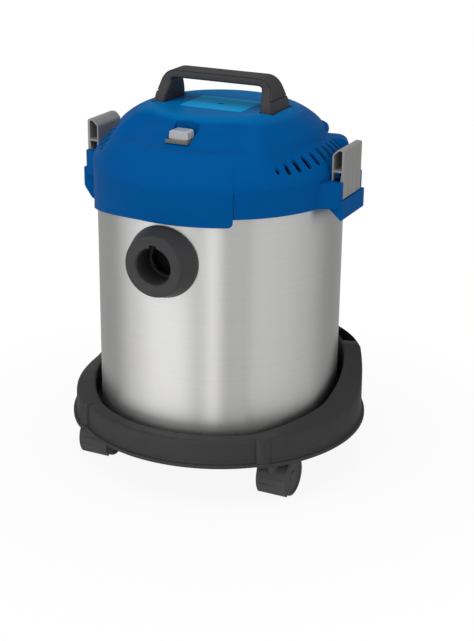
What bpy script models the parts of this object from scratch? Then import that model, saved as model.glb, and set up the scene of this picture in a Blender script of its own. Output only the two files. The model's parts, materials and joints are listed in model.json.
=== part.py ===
"""Wet and dry canister vacuum with a steel drum, a lift-off motor head and a castor dolly.

Metres, +Z up.  The origin is on the floor under the drum's centre.  The hose inlet
faces -Y and the two latches are at -X and +X.  Angles round the drum are counted in
degrees from the front (-Y) towards +X.
"""
import math

import bmesh
import bpy
from mathutils import Matrix, Vector

# ---------------------------------------------------------------- fits
SEAT_GAP = 0.0003            # between pieces that touch on the real machine
RUN_GAP = 0.0006             # round things that turn
ROUND_SIDES = 40             # sides of the drum and what fits it
ROUND_STEP = 360.0 / ROUND_SIDES
SMALL_SIDES = 16             # sides of wheels, pins and small turned pieces
INNER_SIDES = 20             # sides of what is inside the head

# ---------------------------------------------------------------- castors
WHEEL_RADIUS = 0.0215
WHEEL_WIDTH = 0.011
WHEEL_EDGE = 0.0015
WHEEL_DISH = 0.002
HOOD_WIDTH = 0.010
HOOD_RADIUS = 0.0187
HOOD_NECK_RADIUS = 0.0065
HOOD_FRONT_TURN = 222.0      # degrees where the hood's shell ends, counted from +Y over the top
HOOD_REAR_TURN = 60.0
AXLE_RADIUS = 0.003
AXLE_BITE = 0.008            # how far the axle reaches into each wheel
CASTOR_TRAIL = 0.017
CASTOR_ANGLE = 50.0          # degrees from the front and from the back
STEM_RADIUS = 0.004
STEM_LENGTH = 0.010
STEM_BOSS_WALL = 0.0029
WHEEL_TO_DOLLY = 0.0045      # air over the wheels

# ---------------------------------------------------------------- dolly
LIP_BOTTOM = 2 * WHEEL_RADIUS + WHEEL_TO_DOLLY
LIP_THICK = 0.0040
LIP_STEP = 0.0035            # how far the lip stands out past the wall
DOLLY_WALL = 0.003
DOLLY_FLOOR_HEIGHT = 0.010   # drum seat over the lip's underside
DOLLY_FLOOR_HOLE = 0.060
DRUM_CLEARANCE = 0.0065      # dark gap between the drum and the dolly
BUMPER_DEPTH = 0.0175        # from the inner wall to the bumper's face
FENDER_PROUD = 0.0045        # how far the fenders stand out past the bumper
BUMPER_HEIGHT = 0.029        # bumper's top over the lip's underside
FENDER_FRONT = 40.0          # degrees where the fenders start
FENDER_REAR = 150.0
TOWER_FRONT = 121.0          # degrees where the tool sockets start
TOWER_REAR = 146.0
FENDER_INNER_RISE = (
    (41.0, 0.0), (61.0, 0.0075), (79.0, 0.0125), (89.0, 0.021), (105.0, 0.034), (121.0, 0.043),
)
FENDER_OUTER_RISE = ((41.0, 0.001), (89.0, 0.001), (105.0, 0.012), (121.0, 0.040))
SOCKET_DEPTH = 0.046
SOCKET_SPAN = 17.0           # degrees of the tool socket's mouth
SOCKET_WALL = 0.0028

# ---------------------------------------------------------------- drum
DRUM_RADIUS = 0.130
DRUM_WALL = 0.0012
DRUM_HEIGHT = 0.2557
DRUM_FOOT_ROUND = 0.004
RIM_ROLL = 0.003
DRUM_BASE = LIP_BOTTOM + DOLLY_FLOOR_HEIGHT + SEAT_GAP
DRUM_TOP = DRUM_BASE + DRUM_HEIGHT
STEM_OFFSET = 0.010          # castor stems outside the drum's wall
CASTOR_CIRCLE = DRUM_RADIUS + STEM_OFFSET

# ---------------------------------------------------------------- hose inlet
INLET_DROP = 0.057           # inlet's axis under the drum's rim
INLET_HEIGHT = DRUM_TOP - INLET_DROP
INLET_BASE_RADIUS = 0.0375
INLET_FACE_RADIUS = 0.031
INLET_REACH = 0.021          # face in front of the drum
INLET_BORE = 0.0186
INLET_EDGE = 0.0015
KEY_WIDTH = 0.006
KEY_DEPTH = 0.003
SPIGOT_WALL = 0.0034
SPIGOT_REACH = 0.012         # how far the spigot reaches inside the drum
GASKET_THICK = 0.0012
DEFLECTOR_WALL = 0.0025
DEFLECTOR_REACH = 0.030
DEFLECTOR_FLANGE = 0.034
INLET_SCREW_OFFSET = 0.0295
SCREW_RADIUS = 0.0017
SCREW_HEAD_RADIUS = 0.0034
SCREW_HEAD_HEIGHT = 0.0022

# ---------------------------------------------------------------- collar on the drum's rim
COLLAR_RISE = 0.017          # top edge over the rim
COLLAR_SKIRT = 0.009         # bottom edge under the rim
COLLAR_WALL = 0.0038
COLLAR_THIN_WALL = 0.0013    # where the head's apron hangs in front of it
COLLAR_SHELF = 0.003
COLLAR_SHELF_REACH = 0.005
COLLAR_TOP = DRUM_TOP + COLLAR_RISE
COLLAR_BOTTOM = DRUM_TOP - COLLAR_SKIRT
COLLAR_INNER = DRUM_RADIUS + SEAT_GAP
BAND_RADIUS = COLLAR_INNER + COLLAR_WALL

# ---------------------------------------------------------------- latch brackets and latches
BRACKET_HALF = 0.0405
BRACKET_EAR_HALF = 0.031
BRACKET_REACH = 0.0130       # ears in front of the band
TONGUE_HALF = 0.031
TONGUE_REACH = 0.0152        # grip lip in front of the band
TONGUE_DROP = 0.0115         # grip lip under the collar's bottom edge
LEFT_TONGUE_ROOT_DROP = 0.027
GRIP_DEPTH = 0.012
LATCH_HALF = 0.024
LATCH_WALL = 0.0025
LATCH_FACE_THICK = 0.0035
LATCH_DEPTH = 0.0129
LATCH_RISE = 0.0325          # latch over the collar's top edge
LATCH_LOW = 0.018            # and under it
LATCH_BAR_RISE = 0.009       # underside of the bar that holds the head down, over the collar
LATCH_BAR_THICK = 0.003
LATCH_CHAMFER = 0.006
LATCH_BARREL = 0.0035
LATCH_PIN_RADIUS = 0.0016
LATCH_PIN_HALF = 0.0295
LATCH_PIVOT_DROP = 0.0135    # pivot under the collar's top edge
LATCH_GROOVES = 3
LATCH_INNER = BAND_RADIUS + 0.0005
LATCH_TOP = COLLAR_TOP + LATCH_RISE
LATCH_BOTTOM = COLLAR_TOP - LATCH_LOW
LATCH_FOOT = COLLAR_TOP + SEAT_GAP
LATCH_BAR_HEIGHT = COLLAR_TOP + LATCH_BAR_RISE
LATCH_PIVOT_HEIGHT = COLLAR_TOP - LATCH_PIVOT_DROP
LATCH_FACE = LATCH_INNER + LATCH_DEPTH
LATCH_PIVOT = LATCH_FACE - LATCH_FACE_THICK - LATCH_BARREL
LUG_HALF = 0.019
LUG_REACH = 0.0065
LUG_THICK = 0.0065

# ---------------------------------------------------------------- head cover
HEAD_EDGE = COLLAR_TOP + SEAT_GAP
COVER_WALL = 0.0024
DOME_HEIGHT = 0.0605         # crown over the collar's top
SCOOP_WIDTH = 0.0271         # from the band to the dome's shoulder
DOME_SLOPE = 0.035           # from the shoulder to the crown's edge, measured level
CROWN_BORDER = 0.018         # round the flat middle of the crown
DOME_SHOULDER_RADIUS = BAND_RADIUS - SCOOP_WIDTH
DOME_CROWN_RADIUS = DOME_SHOULDER_RADIUS - DOME_SLOPE
DOME_FLAT_RADIUS = DOME_CROWN_RADIUS - CROWN_BORDER
DOME_SHOULDER_HEIGHT = 0.66 * DOME_HEIGHT
DOME_FOOT_HEIGHT = 0.5 * DOME_HEIGHT
SCOOP_RIM_HEIGHT = 0.0135
APRON_PROUD = 0.0011
APRON_DROP = 0.034           # apron under the collar's top edge
APRON_RIGHT = 31.0
APRON_LEFT = -71.8
APRON_SWEEP_START = -10.0
APRON_SWEEP_DROP = 0.0225
APRON_TAPER = 0.0017
APRON_GAP = 0.25             # degrees beside the apron's ends
APRON_MARKS = (
    APRON_LEFT - 3 * APRON_GAP, APRON_LEFT - 2 * APRON_GAP, APRON_LEFT - APRON_GAP, APRON_LEFT,
    APRON_RIGHT, APRON_RIGHT + APRON_GAP, APRON_RIGHT + 2 * APRON_GAP, APRON_RIGHT + 3 * APRON_GAP,
)
BROW_POWER = 1.5             # roundness of the front slope
BROW_FOOT_ANGLE = 44.0       # half width of the front slope at the band
BROW_CROWN_ANGLE = 64.0      # and at the dome's shoulder
DISH_DEPTH = 0.0065          # hollow round the switch, under the front slope
DISH_BACK = 0.012            # how wide its wall is towards the crown
DISH_FRONT = 0.010           # and at the front
DISH_REACH = 0.0425          # its front edge from the crown's edge
DISH_HALF_ANGLE = 48.0
DISH_END = 11.0              # degrees of the wall at each end
REAR_BULGE_ANGLE = 110.0
REAR_BULGE_RISE = (          # degrees, and top over the collar: side bulge, dip, port housing
    (110.0, 0.0275), (119.0, 0.0282), (134.0, 0.0175), (142.0, 0.0175), (152.0, 0.028), (164.0, 0.037),
)
VENT_FIRST = 52.0
VENT_PITCH = 6.0
VENT_COUNT = 10
VENT_WIDTH = 0.0045
VENT_LENGTH = 0.0135
VENT_SHARES = (0.4, 0.8)     # lengths of the first two vents, which end in line with the others
VENT_RISE = 0.008            # how much higher the vents' slope stands towards the back
VENT_RISE_START = 56.0       # degrees
VENT_RISE_SPAN = 30.0
POST_INSET = 0.012           # screw posts inside the drum's wall
POST_CIRCLE = DRUM_RADIUS - POST_INSET
POST_RADIUS = 0.0045
POST_ANGLES = (20.0, 130.0, 230.0)
PILOT_DEPTH = 0.014
HEAD_SCREW_GRIP = 0.012      # thread inside each post

# ---------------------------------------------------------------- carry handle
HANDLE_FOOT_INSET = 0.008    # middle of each foot inside the crown's edge
HANDLE_LEAN = 0.0065         # how far each leg leans in up to the bar
HANDLE_RISE = 0.0325         # bar's top over the crown
HANDLE_SINK = 0.008          # underside of the feet under the crown
HANDLE_FOOT = DOME_CROWN_RADIUS - HANDLE_FOOT_INSET
HANDLE_SHOULDER = HANDLE_FOOT - HANDLE_LEAN
HANDLE_TOP = COLLAR_TOP + DOME_HEIGHT + HANDLE_RISE
HANDLE_FOOT_BASE = COLLAR_TOP + DOME_HEIGHT - HANDLE_SINK
HANDLE_THICK = 0.0085
HANDLE_CORNER = 0.013
HANDLE_FOOT_HALF = 0.0245
HANDLE_BAR_HALF = 0.0145
HANDLE_EDGE = 0.002
HANDLE_POCKET_MARGIN = 0.0016
GRIP_REACH = 0.023           # how far down the soft grip comes from the bar's top
GRIP_LINE = HANDLE_TOP - GRIP_REACH
GRIP_THICK = 0.0012
GRIP_MARGIN = 0.0015

# ---------------------------------------------------------------- switch
SWITCH_OFFSET = 0.0172       # in front of the crown's edge
SWITCH_SINK = 0.022          # pocket floor under the crown
SWITCH_SIZE = 0.025
SWITCH_PLATE = 0.003
SWITCH_CENTRE = DOME_CROWN_RADIUS + SWITCH_OFFSET
SWITCH_FLOOR = COLLAR_TOP + DOME_HEIGHT - SWITCH_SINK
SWITCH_MARGIN = 0.0012
ROCKER_LENGTH = 0.0215
ROCKER_WIDTH = 0.014
ROCKER_HEIGHT = 0.0122
ROCKER_VEE = 0.0018
ROCKER_EDGE = 0.001
SWITCH_BODY_DEPTH = 0.020

# ---------------------------------------------------------------- rear fittings
PORT_RISE = 0.014            # blower port's axis over the collar
PORT_HEIGHT = COLLAR_TOP + PORT_RISE
PORT_BORE = 0.0155
PORT_WALL = 0.0032
PORT_FLANGE = 0.005
PORT_FLANGE_THICK = 0.003
PORT_REACH = 0.016
PORT_INSIDE = 0.026
GLAND_ANGLE = 152.0
GLAND_RISE = 0.016
GLAND_HEIGHT = COLLAR_TOP + GLAND_RISE
GLAND_RADIUS = 0.0065
GLAND_FLANGE = 0.009
GLAND_BORE = 0.0036
GLAND_REACH = 0.007

# ---------------------------------------------------------------- inside the head
SEAL_HEIGHT = 0.0034
SEAL_WIDTH = 0.0036
BASE_THICK = 0.0035
WELL_WALL = 0.003
WELL_DEPTH = 0.0565          # well floor under the base plate's underside
INTAKE_RADIUS = 0.022
FAN_CASE_RADIUS = 0.0655
FAN_CASE_HEIGHT = 0.036
FAN_CASE_WALL = 0.002
MOUNT_WIDTH = 0.0059
WELL_RADIUS = FAN_CASE_RADIUS + MOUNT_WIDTH + 2 * SEAT_GAP
FAN_OUTLETS = 6
FAN_OUTLET_RADIUS = 0.006
MOUNT_HEIGHT = 0.006
IMPELLER_RADIUS = 0.058
IMPELLER_DISC = 0.002
IMPELLER_BLADES = 8
IMPELLER_HUB = 0.011
MOTOR_CAN_RADIUS = 0.044
MOTOR_CAN_WALL = 0.0025
MOTOR_CAN_HEIGHT = 0.062
MOTOR_WINDOWS = 6
STATOR_INNER = 0.027
STATOR_HEIGHT = 0.032
ARMATURE_RADIUS = 0.0255
ARMATURE_SLOTS = 12
COMMUTATOR_RADIUS = 0.012
COMMUTATOR_HEIGHT = 0.010
BRUSH_SIZE = 0.009
BEARING_RADIUS = 0.011
BEARING_HEIGHT = 0.007
SHAFT_RADIUS = 0.004
FILTER_OUTER = 0.068
FILTER_INNER = 0.054
FILTER_PLEATS = 28
PAPER_THICK = 0.004          # measured along the radius, across a pleat
FILTER_HEIGHT = 0.058
FILTER_CAP = 0.005
CAGE_RADIUS = 0.034
CAGE_WALL = 0.0025
CAGE_WINDOWS = 4
FLOAT_RADIUS = 0.028
FLOAT_HEIGHT = 0.026
FLOAT_TRAVEL = 0.020
CAGE_HEADROOM = 0.0075       # above the float at the top of its travel
CAGE_HEIGHT = CAGE_WALL + FLOAT_HEIGHT + FLOAT_TRAVEL + CAGE_HEADROOM

# ---------------------------------------------------------------- finishes: colour, roughness, metallic
FINISHES = {
    "blue plastic": ((0.0, 0.085, 0.30), 0.32, 0.0),
    "black plastic": ((0.045, 0.045, 0.048), 0.5, 0.0),
    "soft grip": ((0.03, 0.03, 0.032), 0.8, 0.0),
    "wheel plastic": ((0.055, 0.055, 0.058), 0.55, 0.0),
    "grey plastic": ((0.23, 0.23, 0.225), 0.45, 0.0),
    "brushed steel": ((0.62, 0.62, 0.61), 0.3, 1.0),
    "zinc steel": ((0.55, 0.55, 0.53), 0.35, 1.0),
    "rubber": ((0.02, 0.02, 0.02), 0.7, 0.0),
    "clear cap": ((0.62, 0.66, 0.70), 0.2, 0.0),
    "filter paper": ((0.80, 0.78, 0.70), 0.9, 0.0),
    "copper": ((0.60, 0.28, 0.14), 0.35, 1.0),
    "white plastic": ((0.75, 0.75, 0.73), 0.5, 0.0),
    "light alloy": ((0.60, 0.61, 0.62), 0.4, 1.0),
}


# ================================================================ mesh helpers
def clear_scene():
    """Remove every object that the file opened with."""
    for item in list(bpy.data.objects):
        bpy.data.objects.remove(item, do_unlink=True)


def polar(radius, angle, height):
    """Point at an angle round the drum, from the front towards +X."""
    turn = math.radians(angle)
    return Vector((radius * math.sin(turn), -radius * math.cos(turn), height))


def mix(low, high, share):
    """Value between two others."""
    return low + (high - low) * share


def smooth(share):
    """Ease in and out between 0 and 1."""
    share = min(max(share, 0.0), 1.0)
    return share * share * (3.0 - 2.0 * share)


def follow(table, angle):
    """Straight-line reading of a table of (angle, value) rows."""
    if angle <= table[0][0]:
        return table[0][1]
    for (low, low_value), (high, high_value) in zip(table, table[1:]):
        if angle <= high:
            return mix(low_value, high_value, (angle - low) / (high - low))
    return table[-1][1]


def make_object(name, mesh_edit, finish=None, origin=(0.0, 0.0, 0.0)):
    """Turn a bmesh into an object whose own origin lies at a given point."""
    bmesh.ops.recalc_face_normals(mesh_edit, faces=mesh_edit.faces)
    bmesh.ops.translate(mesh_edit, verts=mesh_edit.verts, vec=-Vector(origin))
    mesh = bpy.data.meshes.new(name)
    mesh_edit.to_mesh(mesh)
    mesh_edit.free()
    mesh.shade_smooth()
    mesh.set_sharp_from_angle(angle=math.radians(35))
    item = bpy.data.objects.new(name, mesh)
    item.location = origin
    bpy.context.scene.collection.objects.link(item)
    if finish:
        colour, roughness, metallic = FINISHES[finish]
        material = bpy.data.materials.new(name + "_finish")
        material.use_nodes = True
        shader = material.node_tree.nodes["Principled BSDF"]
        shader.inputs["Base Color"].default_value = (*colour, 1.0)
        shader.inputs["Roughness"].default_value = roughness
        shader.inputs["Metallic"].default_value = metallic
        mesh.materials.append(material)
    return item


def make_guide(name, mesh_edit):
    """Object that only cuts or fills others."""
    item = make_object(name, mesh_edit)
    item.hide_render = True
    item.display_type = "WIRE"
    return item


def combine(item, guide, operation):
    """Boolean the item with a guide."""
    modifier = item.modifiers.new(guide.name, "BOOLEAN")
    modifier.operation = operation
    modifier.solver = "EXACT"
    modifier.object = guide


def cut(item, guide):
    """Take the guide's space out of the item."""
    combine(item, guide, "DIFFERENCE")


def fuse(item, guide):
    """Add the guide's space to the item."""
    combine(item, guide, "UNION")


def keep(item, guide):
    """Leave only what the item shares with the guide."""
    combine(item, guide, "INTERSECT")


def add_turned(mesh_edit, section, sides=ROUND_SIDES, centre=(0.0, 0.0)):
    """Turn a closed section of (radius, height) points round an upright axis."""
    rings = []
    for radius, height in section:
        if radius < 1e-7:
            rings.append([mesh_edit.verts.new((centre[0], centre[1], height))] * sides)
            continue
        ring = []
        for side in range(sides):
            point = polar(radius, 360.0 * side / sides, height)
            ring.append(mesh_edit.verts.new((point.x + centre[0], point.y + centre[1], height)))
        rings.append(ring)
    skin_rings(mesh_edit, rings, close=True)


def skin_rings(mesh_edit, rings, close):
    """Join each ring of points to the next, and the last to the first when closed."""
    pairs = list(zip(rings, rings[1:]))
    if close:
        pairs.append((rings[-1], rings[0]))
    for lower, upper in pairs:
        for side in range(len(lower)):
            after = (side + 1) % len(lower)
            corners = [lower[side], lower[after], upper[after], upper[side]]
            face = [corner for place, corner in enumerate(corners) if corner not in corners[:place]]
            if len(face) > 2:
                mesh_edit.faces.new(face)


def ring_section(inner, outer, low, high):
    """Rectangular section of a ring or tube."""
    return ((inner, low), (outer, low), (outer, high), (inner, high))


def turned(name, section, finish, sides=ROUND_SIDES, origin=(0.0, 0.0, 0.0)):
    """Turned solid about the drum's axis."""
    mesh_edit = bmesh.new()
    add_turned(mesh_edit, section, sides)
    return make_object(name, mesh_edit, finish, origin)


def add_drum_shape(mesh_edit, radius, low, high, sides=ROUND_SIDES, centre=(0.0, 0.0)):
    """Plain upright cylinder."""
    add_turned(mesh_edit, ring_section(0.0, radius, low, high), sides, centre)


def add_prism(mesh_edit, outline, low, high, axes="xyz"):
    """Extrude an outline.  The outline uses the first two axes and rises along the third."""
    rings = []
    for level in (low, high):
        ring = []
        for first, second in outline:
            place = dict(zip(axes, (first, second, level)))
            ring.append(mesh_edit.verts.new((place["x"], place["y"], place["z"])))
        rings.append(ring)
    skin_rings(mesh_edit, rings, close=False)
    mesh_edit.faces.new(rings[0])
    mesh_edit.faces.new(rings[1])


def add_box(mesh_edit, low, high):
    """Box between two corners."""
    outline = ((low[0], low[1]), (high[0], low[1]), (high[0], high[1]), (low[0], high[1]))
    add_prism(mesh_edit, outline, low[2], high[2])


def arc(centre, radius, start, end, steps):
    """Points of an arc, with angles in degrees from the first axis."""
    points = []
    for step in range(steps + 1):
        turn = math.radians(mix(start, end, step / steps))
        points.append((centre[0] + radius * math.cos(turn), centre[1] + radius * math.sin(turn)))
    return points


def axis_matrix(direction):
    """Matrix that lays a turned piece's upright axis along a direction."""
    return Vector(direction).to_track_quat("Z", "Y").to_matrix().to_4x4()


def laid_turned(name, section, finish, place, direction, sides=SMALL_SIDES):
    """Turned solid whose axis runs from a place along a direction."""
    mesh_edit = bmesh.new()
    add_turned(mesh_edit, section, sides)
    laid = Matrix.Translation(place) @ axis_matrix(direction)
    bmesh.ops.transform(mesh_edit, matrix=laid, verts=mesh_edit.verts)
    if finish:
        return make_object(name, mesh_edit, finish, place)
    return make_guide(name, mesh_edit)


def ring_angles(step, extras):
    """Even angles round the circle, with extra ones put in and crowded ones left out."""
    angles = list(extras)
    count = round(360.0 / step)
    for place in range(count):
        angle = -180.0 + 360.0 * place / count
        if all(abs((angle - extra + 180.0) % 360.0 - 180.0) > 0.4 * step for extra in extras):
            angles.append(angle)
    return sorted(angles)


def add_ring_loft(mesh_edit, columns):
    """Skin closed sections that stand one after another round the drum."""
    rings = [[mesh_edit.verts.new(point) for point in column] for column in columns]
    skin_rings(mesh_edit, rings, close=True)


def screw_section(shank):
    """Pan-head screw, from its head's top at zero to its tip."""
    return (
        (0.0, 0.0), (SCREW_HEAD_RADIUS, 0.0), (SCREW_HEAD_RADIUS, SCREW_HEAD_HEIGHT),
        (SCREW_RADIUS, SCREW_HEAD_HEIGHT), (SCREW_RADIUS, shank), (0.0, shank + SCREW_RADIUS),
    )


# ================================================================ dolly
INNER_WALL = DRUM_RADIUS + DRUM_CLEARANCE
FLOOR_TOP = LIP_BOTTOM + DOLLY_FLOOR_HEIGHT
BUMPER_TOP = LIP_BOTTOM + BUMPER_HEIGHT
HOOD_TOP = LIP_BOTTOM - SEAT_GAP
EDGE_ROUND = 0.0025
FENDER_NOSE = 5.0            # degrees over which the fender's nose swells


def fender_share(angle):
    """How fully the fender stands out at an angle, from 0 to 1."""
    side = abs(angle)
    nose = min(max((side - FENDER_FRONT) / FENDER_NOSE, 0.0), 1.0)
    tail = min(max((FENDER_REAR - side) / FENDER_NOSE, 0.0), 1.0)
    return math.sqrt(nose * (2.0 - nose)) * math.sqrt(tail * (2.0 - tail))


def dolly_heights(angle):
    """Heights of the dolly's inner and outer top edges at an angle."""
    side = abs(angle)
    if side <= FENDER_FRONT or side >= FENDER_REAR:
        return BUMPER_TOP, BUMPER_TOP
    tail = smooth((FENDER_REAR - side) / (FENDER_REAR - TOWER_REAR))
    inner = BUMPER_TOP + tail * follow(FENDER_INNER_RISE, side)
    outer = BUMPER_TOP + tail * follow(FENDER_OUTER_RISE, side)
    return inner, outer


def dolly_face(angle):
    """Radius of the dolly's outer wall at an angle."""
    return INNER_WALL + BUMPER_DEPTH + FENDER_PROUD * fender_share(angle)


def dolly_section(angle):
    """Closed outline of the dolly's ring at one angle, open underneath."""
    face = dolly_face(angle)
    inner_top, outer_top = dolly_heights(angle)
    roof_inner = inner_top - EDGE_ROUND - DOLLY_WALL
    roof_outer = outer_top - EDGE_ROUND - DOLLY_WALL
    if TOWER_FRONT <= abs(angle) <= TOWER_REAR:
        roof_inner = BUMPER_TOP - EDGE_ROUND - DOLLY_WALL
        roof_outer = roof_inner
    outline = (
        (face + LIP_STEP, LIP_BOTTOM),
        (face + LIP_STEP, LIP_BOTTOM + LIP_THICK),
        (face, LIP_BOTTOM + LIP_THICK + LIP_STEP / 6),
        (face, outer_top - EDGE_ROUND),
        (face - EDGE_ROUND, outer_top),
        (INNER_WALL + EDGE_ROUND, inner_top),
        (INNER_WALL, inner_top - EDGE_ROUND),
        (INNER_WALL, FLOOR_TOP),
        (DOLLY_FLOOR_HOLE, FLOOR_TOP),
        (DOLLY_FLOOR_HOLE, FLOOR_TOP - DOLLY_WALL),
        (INNER_WALL + DOLLY_WALL, FLOOR_TOP - DOLLY_WALL),
        (INNER_WALL + DOLLY_WALL, roof_inner),
        (face - DOLLY_WALL, roof_outer),
        (face - DOLLY_WALL, LIP_BOTTOM),
    )
    return [polar(radius, angle, height) for radius, height in outline]


def castor_angles():
    """Where the four castors stand, named from above."""
    return {
        "front_right": CASTOR_ANGLE,
        "rear_right": 180.0 - CASTOR_ANGLE,
        "rear_left": CASTOR_ANGLE - 180.0,
        "front_left": -CASTOR_ANGLE,
    }


def make_dolly():
    """One moulded ring with fenders, two tool sockets and four stem bosses."""
    nose = FENDER_FRONT + 0.1 * FENDER_NOSE
    marks = (
        FENDER_FRONT, nose, FENDER_FRONT + 0.4 * FENDER_NOSE, FENDER_FRONT + FENDER_NOSE,
        TOWER_FRONT - 0.4, TOWER_FRONT, TOWER_REAR, TOWER_REAR + 0.4, FENDER_REAR,
    )
    angles = ring_angles(ROUND_STEP, marks + tuple(-mark for mark in marks))
    mesh_edit = bmesh.new()
    add_ring_loft(mesh_edit, [dolly_section(angle) for angle in angles])
    dolly = make_object("dolly_base", mesh_edit, "black plastic")

    boss_radius = STEM_RADIUS + RUN_GAP / 2 + STEM_BOSS_WALL
    bosses = bmesh.new()
    holes = bmesh.new()
    for angle in castor_angles().values():
        place = polar(CASTOR_CIRCLE, angle, 0.0)
        boss_top = HOOD_TOP + STEM_LENGTH + DOLLY_WALL
        add_drum_shape(bosses, boss_radius, LIP_BOTTOM, boss_top, 16, (place.x, place.y))
        hole_top = HOOD_TOP + STEM_LENGTH + SEAT_GAP
        hole_radius = STEM_RADIUS + RUN_GAP / 2
        add_drum_shape(holes, hole_radius, LIP_BOTTOM - DOLLY_WALL, hole_top, 16, (place.x, place.y))
    fuse(dolly, make_guide("stem_bosses", bosses))
    cut(dolly, make_guide("stem_holes", holes))

    sockets = bmesh.new()
    tower_top = BUMPER_TOP + FENDER_INNER_RISE[-1][1]
    for side in (-1, 1):
        middle = side * (TOWER_FRONT + TOWER_REAR) / 2
        inner = INNER_WALL + SOCKET_WALL
        outer = dolly_face(middle) - SOCKET_WALL
        steps = [mix(-0.5, 0.5, step / 6) * SOCKET_SPAN for step in range(7)]
        outline = [polar(outer, middle + step, 0.0).xy for step in steps]
        outline += [polar(inner, middle + step, 0.0).xy for step in reversed(steps)]
        add_prism(sockets, outline, tower_top - SOCKET_DEPTH, tower_top + DOLLY_WALL)
    cut(dolly, make_guide("tool_sockets", sockets))
    return dolly


# ================================================================ castors
def make_castor(name, angle):
    """Twin-wheel castor: hood with stem, axle and two wheels, trailing towards +Y."""
    stem = polar(CASTOR_CIRCLE, angle, HOOD_TOP)
    hub = Vector((stem.x, stem.y + CASTOR_TRAIL, WHEEL_RADIUS))
    pivot = bpy.data.objects.new("castor_" + name + "_swivel", None)
    pivot.location = stem
    bpy.context.scene.collection.objects.link(pivot)

    half = HOOD_WIDTH / 2 + RUN_GAP + WHEEL_WIDTH
    inner = WHEEL_RADIUS + RUN_GAP
    outer = HOOD_TOP - WHEEL_RADIUS - 3 * SEAT_GAP
    shell = arc((hub.y, hub.z), outer, HOOD_FRONT_TURN, HOOD_REAR_TURN, 10)
    shell += arc((hub.y, hub.z), inner, HOOD_REAR_TURN, HOOD_FRONT_TURN, 10)
    mesh_edit = bmesh.new()
    add_prism(mesh_edit, shell, hub.x - half, hub.x + half, "yzx")
    hood = make_object("castor_" + name + "_hood", mesh_edit, "black plastic", stem)
    web = bmesh.new()
    web_radius = (inner + outer) / 2
    disc = arc((hub.y, hub.z), web_radius, 195.0, 70.0, 6)
    disc += arc((hub.y, hub.z), HOOD_RADIUS, 20.0, -150.0, 6)
    add_prism(web, disc, hub.x - HOOD_WIDTH / 2, hub.x + HOOD_WIDTH / 2, "yzx")
    fuse(hood, make_guide("castor_" + name + "_web", web))
    neck = bmesh.new()
    neck_foot = hub.z + HOOD_NECK_RADIUS
    add_turned(neck, (
        (0.0, neck_foot), (0.6 * HOOD_NECK_RADIUS, neck_foot),
        (HOOD_NECK_RADIUS, neck_foot + 0.5 * HOOD_NECK_RADIUS),
        (HOOD_NECK_RADIUS, stem.z), (STEM_RADIUS, stem.z),
        (STEM_RADIUS, stem.z + STEM_LENGTH), (0.0, stem.z + STEM_LENGTH),
    ), 12, (stem.x, stem.y))
    neck_guide = make_guide("castor_" + name + "_neck", neck)
    room = ring_section(0.0, inner + SEAT_GAP, HOOD_WIDTH / 2, 2 * half)
    for hand, direction in (("left", -1), ("right", 1)):
        room_name = "castor_" + name + "_room_" + hand
        cut(neck_guide, laid_turned(room_name, room, None, hub, (direction, 0, 0), 24))
    fuse(hood, neck_guide)
    bore = ring_section(0.0, AXLE_RADIUS + SEAT_GAP, 0.0, 3 * HOOD_WIDTH)
    start = hub - Vector((1.5 * HOOD_WIDTH, 0.0, 0.0))
    cut(hood, laid_turned("castor_" + name + "_bore", bore, None, start, (1, 0, 0), 12))
    pieces = [hood]

    reach = HOOD_WIDTH / 2 + RUN_GAP + AXLE_BITE
    rod = ring_section(0.0, AXLE_RADIUS, -reach, reach)
    pieces.append(laid_turned("castor_" + name + "_axle", rod, "zinc steel", hub, (1, 0, 0), 12))
    near = HOOD_WIDTH / 2 + RUN_GAP
    wheel = (
        (AXLE_RADIUS + RUN_GAP / 2, near), (WHEEL_RADIUS - WHEEL_EDGE, near),
        (WHEEL_RADIUS, near + WHEEL_EDGE),
        (WHEEL_RADIUS, near + WHEEL_WIDTH - WHEEL_EDGE), (WHEEL_RADIUS - WHEEL_EDGE, near + WHEEL_WIDTH),
        (WHEEL_RADIUS - 3 * WHEEL_EDGE, near + WHEEL_WIDTH - WHEEL_DISH / 2),
        (0.0, near + WHEEL_WIDTH - WHEEL_DISH / 2),
        (0.0, near + AXLE_BITE + SEAT_GAP), (AXLE_RADIUS + RUN_GAP / 2, near + AXLE_BITE + SEAT_GAP),
    )
    for hand, direction in (("left", -1), ("right", 1)):
        wheel_name = "castor_" + name + "_wheel_" + hand
        pieces.append(laid_turned(wheel_name, wheel, "wheel plastic", hub, (direction, 0, 0)))
    for piece in pieces:
        piece.parent = pivot
        piece.matrix_parent_inverse = Matrix.Translation(-stem)


# ================================================================ drum and hose inlet
INLET_FACE = DRUM_RADIUS + INLET_REACH
SPIGOT_OUTER = INLET_BORE + SPIGOT_WALL
DRUM_INNER = DRUM_RADIUS - DRUM_WALL


def inlet_turned(name, section, finish=None, sides=24):
    """Turned piece on the inlet's axis, with distances counted outwards from the drum's axis."""
    return laid_turned(name, section, finish, Vector((0.0, 0.0, INLET_HEIGHT)), (0, -1, 0), sides)


def drum_guide(name, radius):
    """Upright cylinder as wide as a shape that hugs the drum's wall."""
    mesh_edit = bmesh.new()
    reach = 2 * INLET_BASE_RADIUS
    add_drum_shape(mesh_edit, radius, INLET_HEIGHT - reach, INLET_HEIGHT + reach)
    return make_guide(name, mesh_edit)


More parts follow.
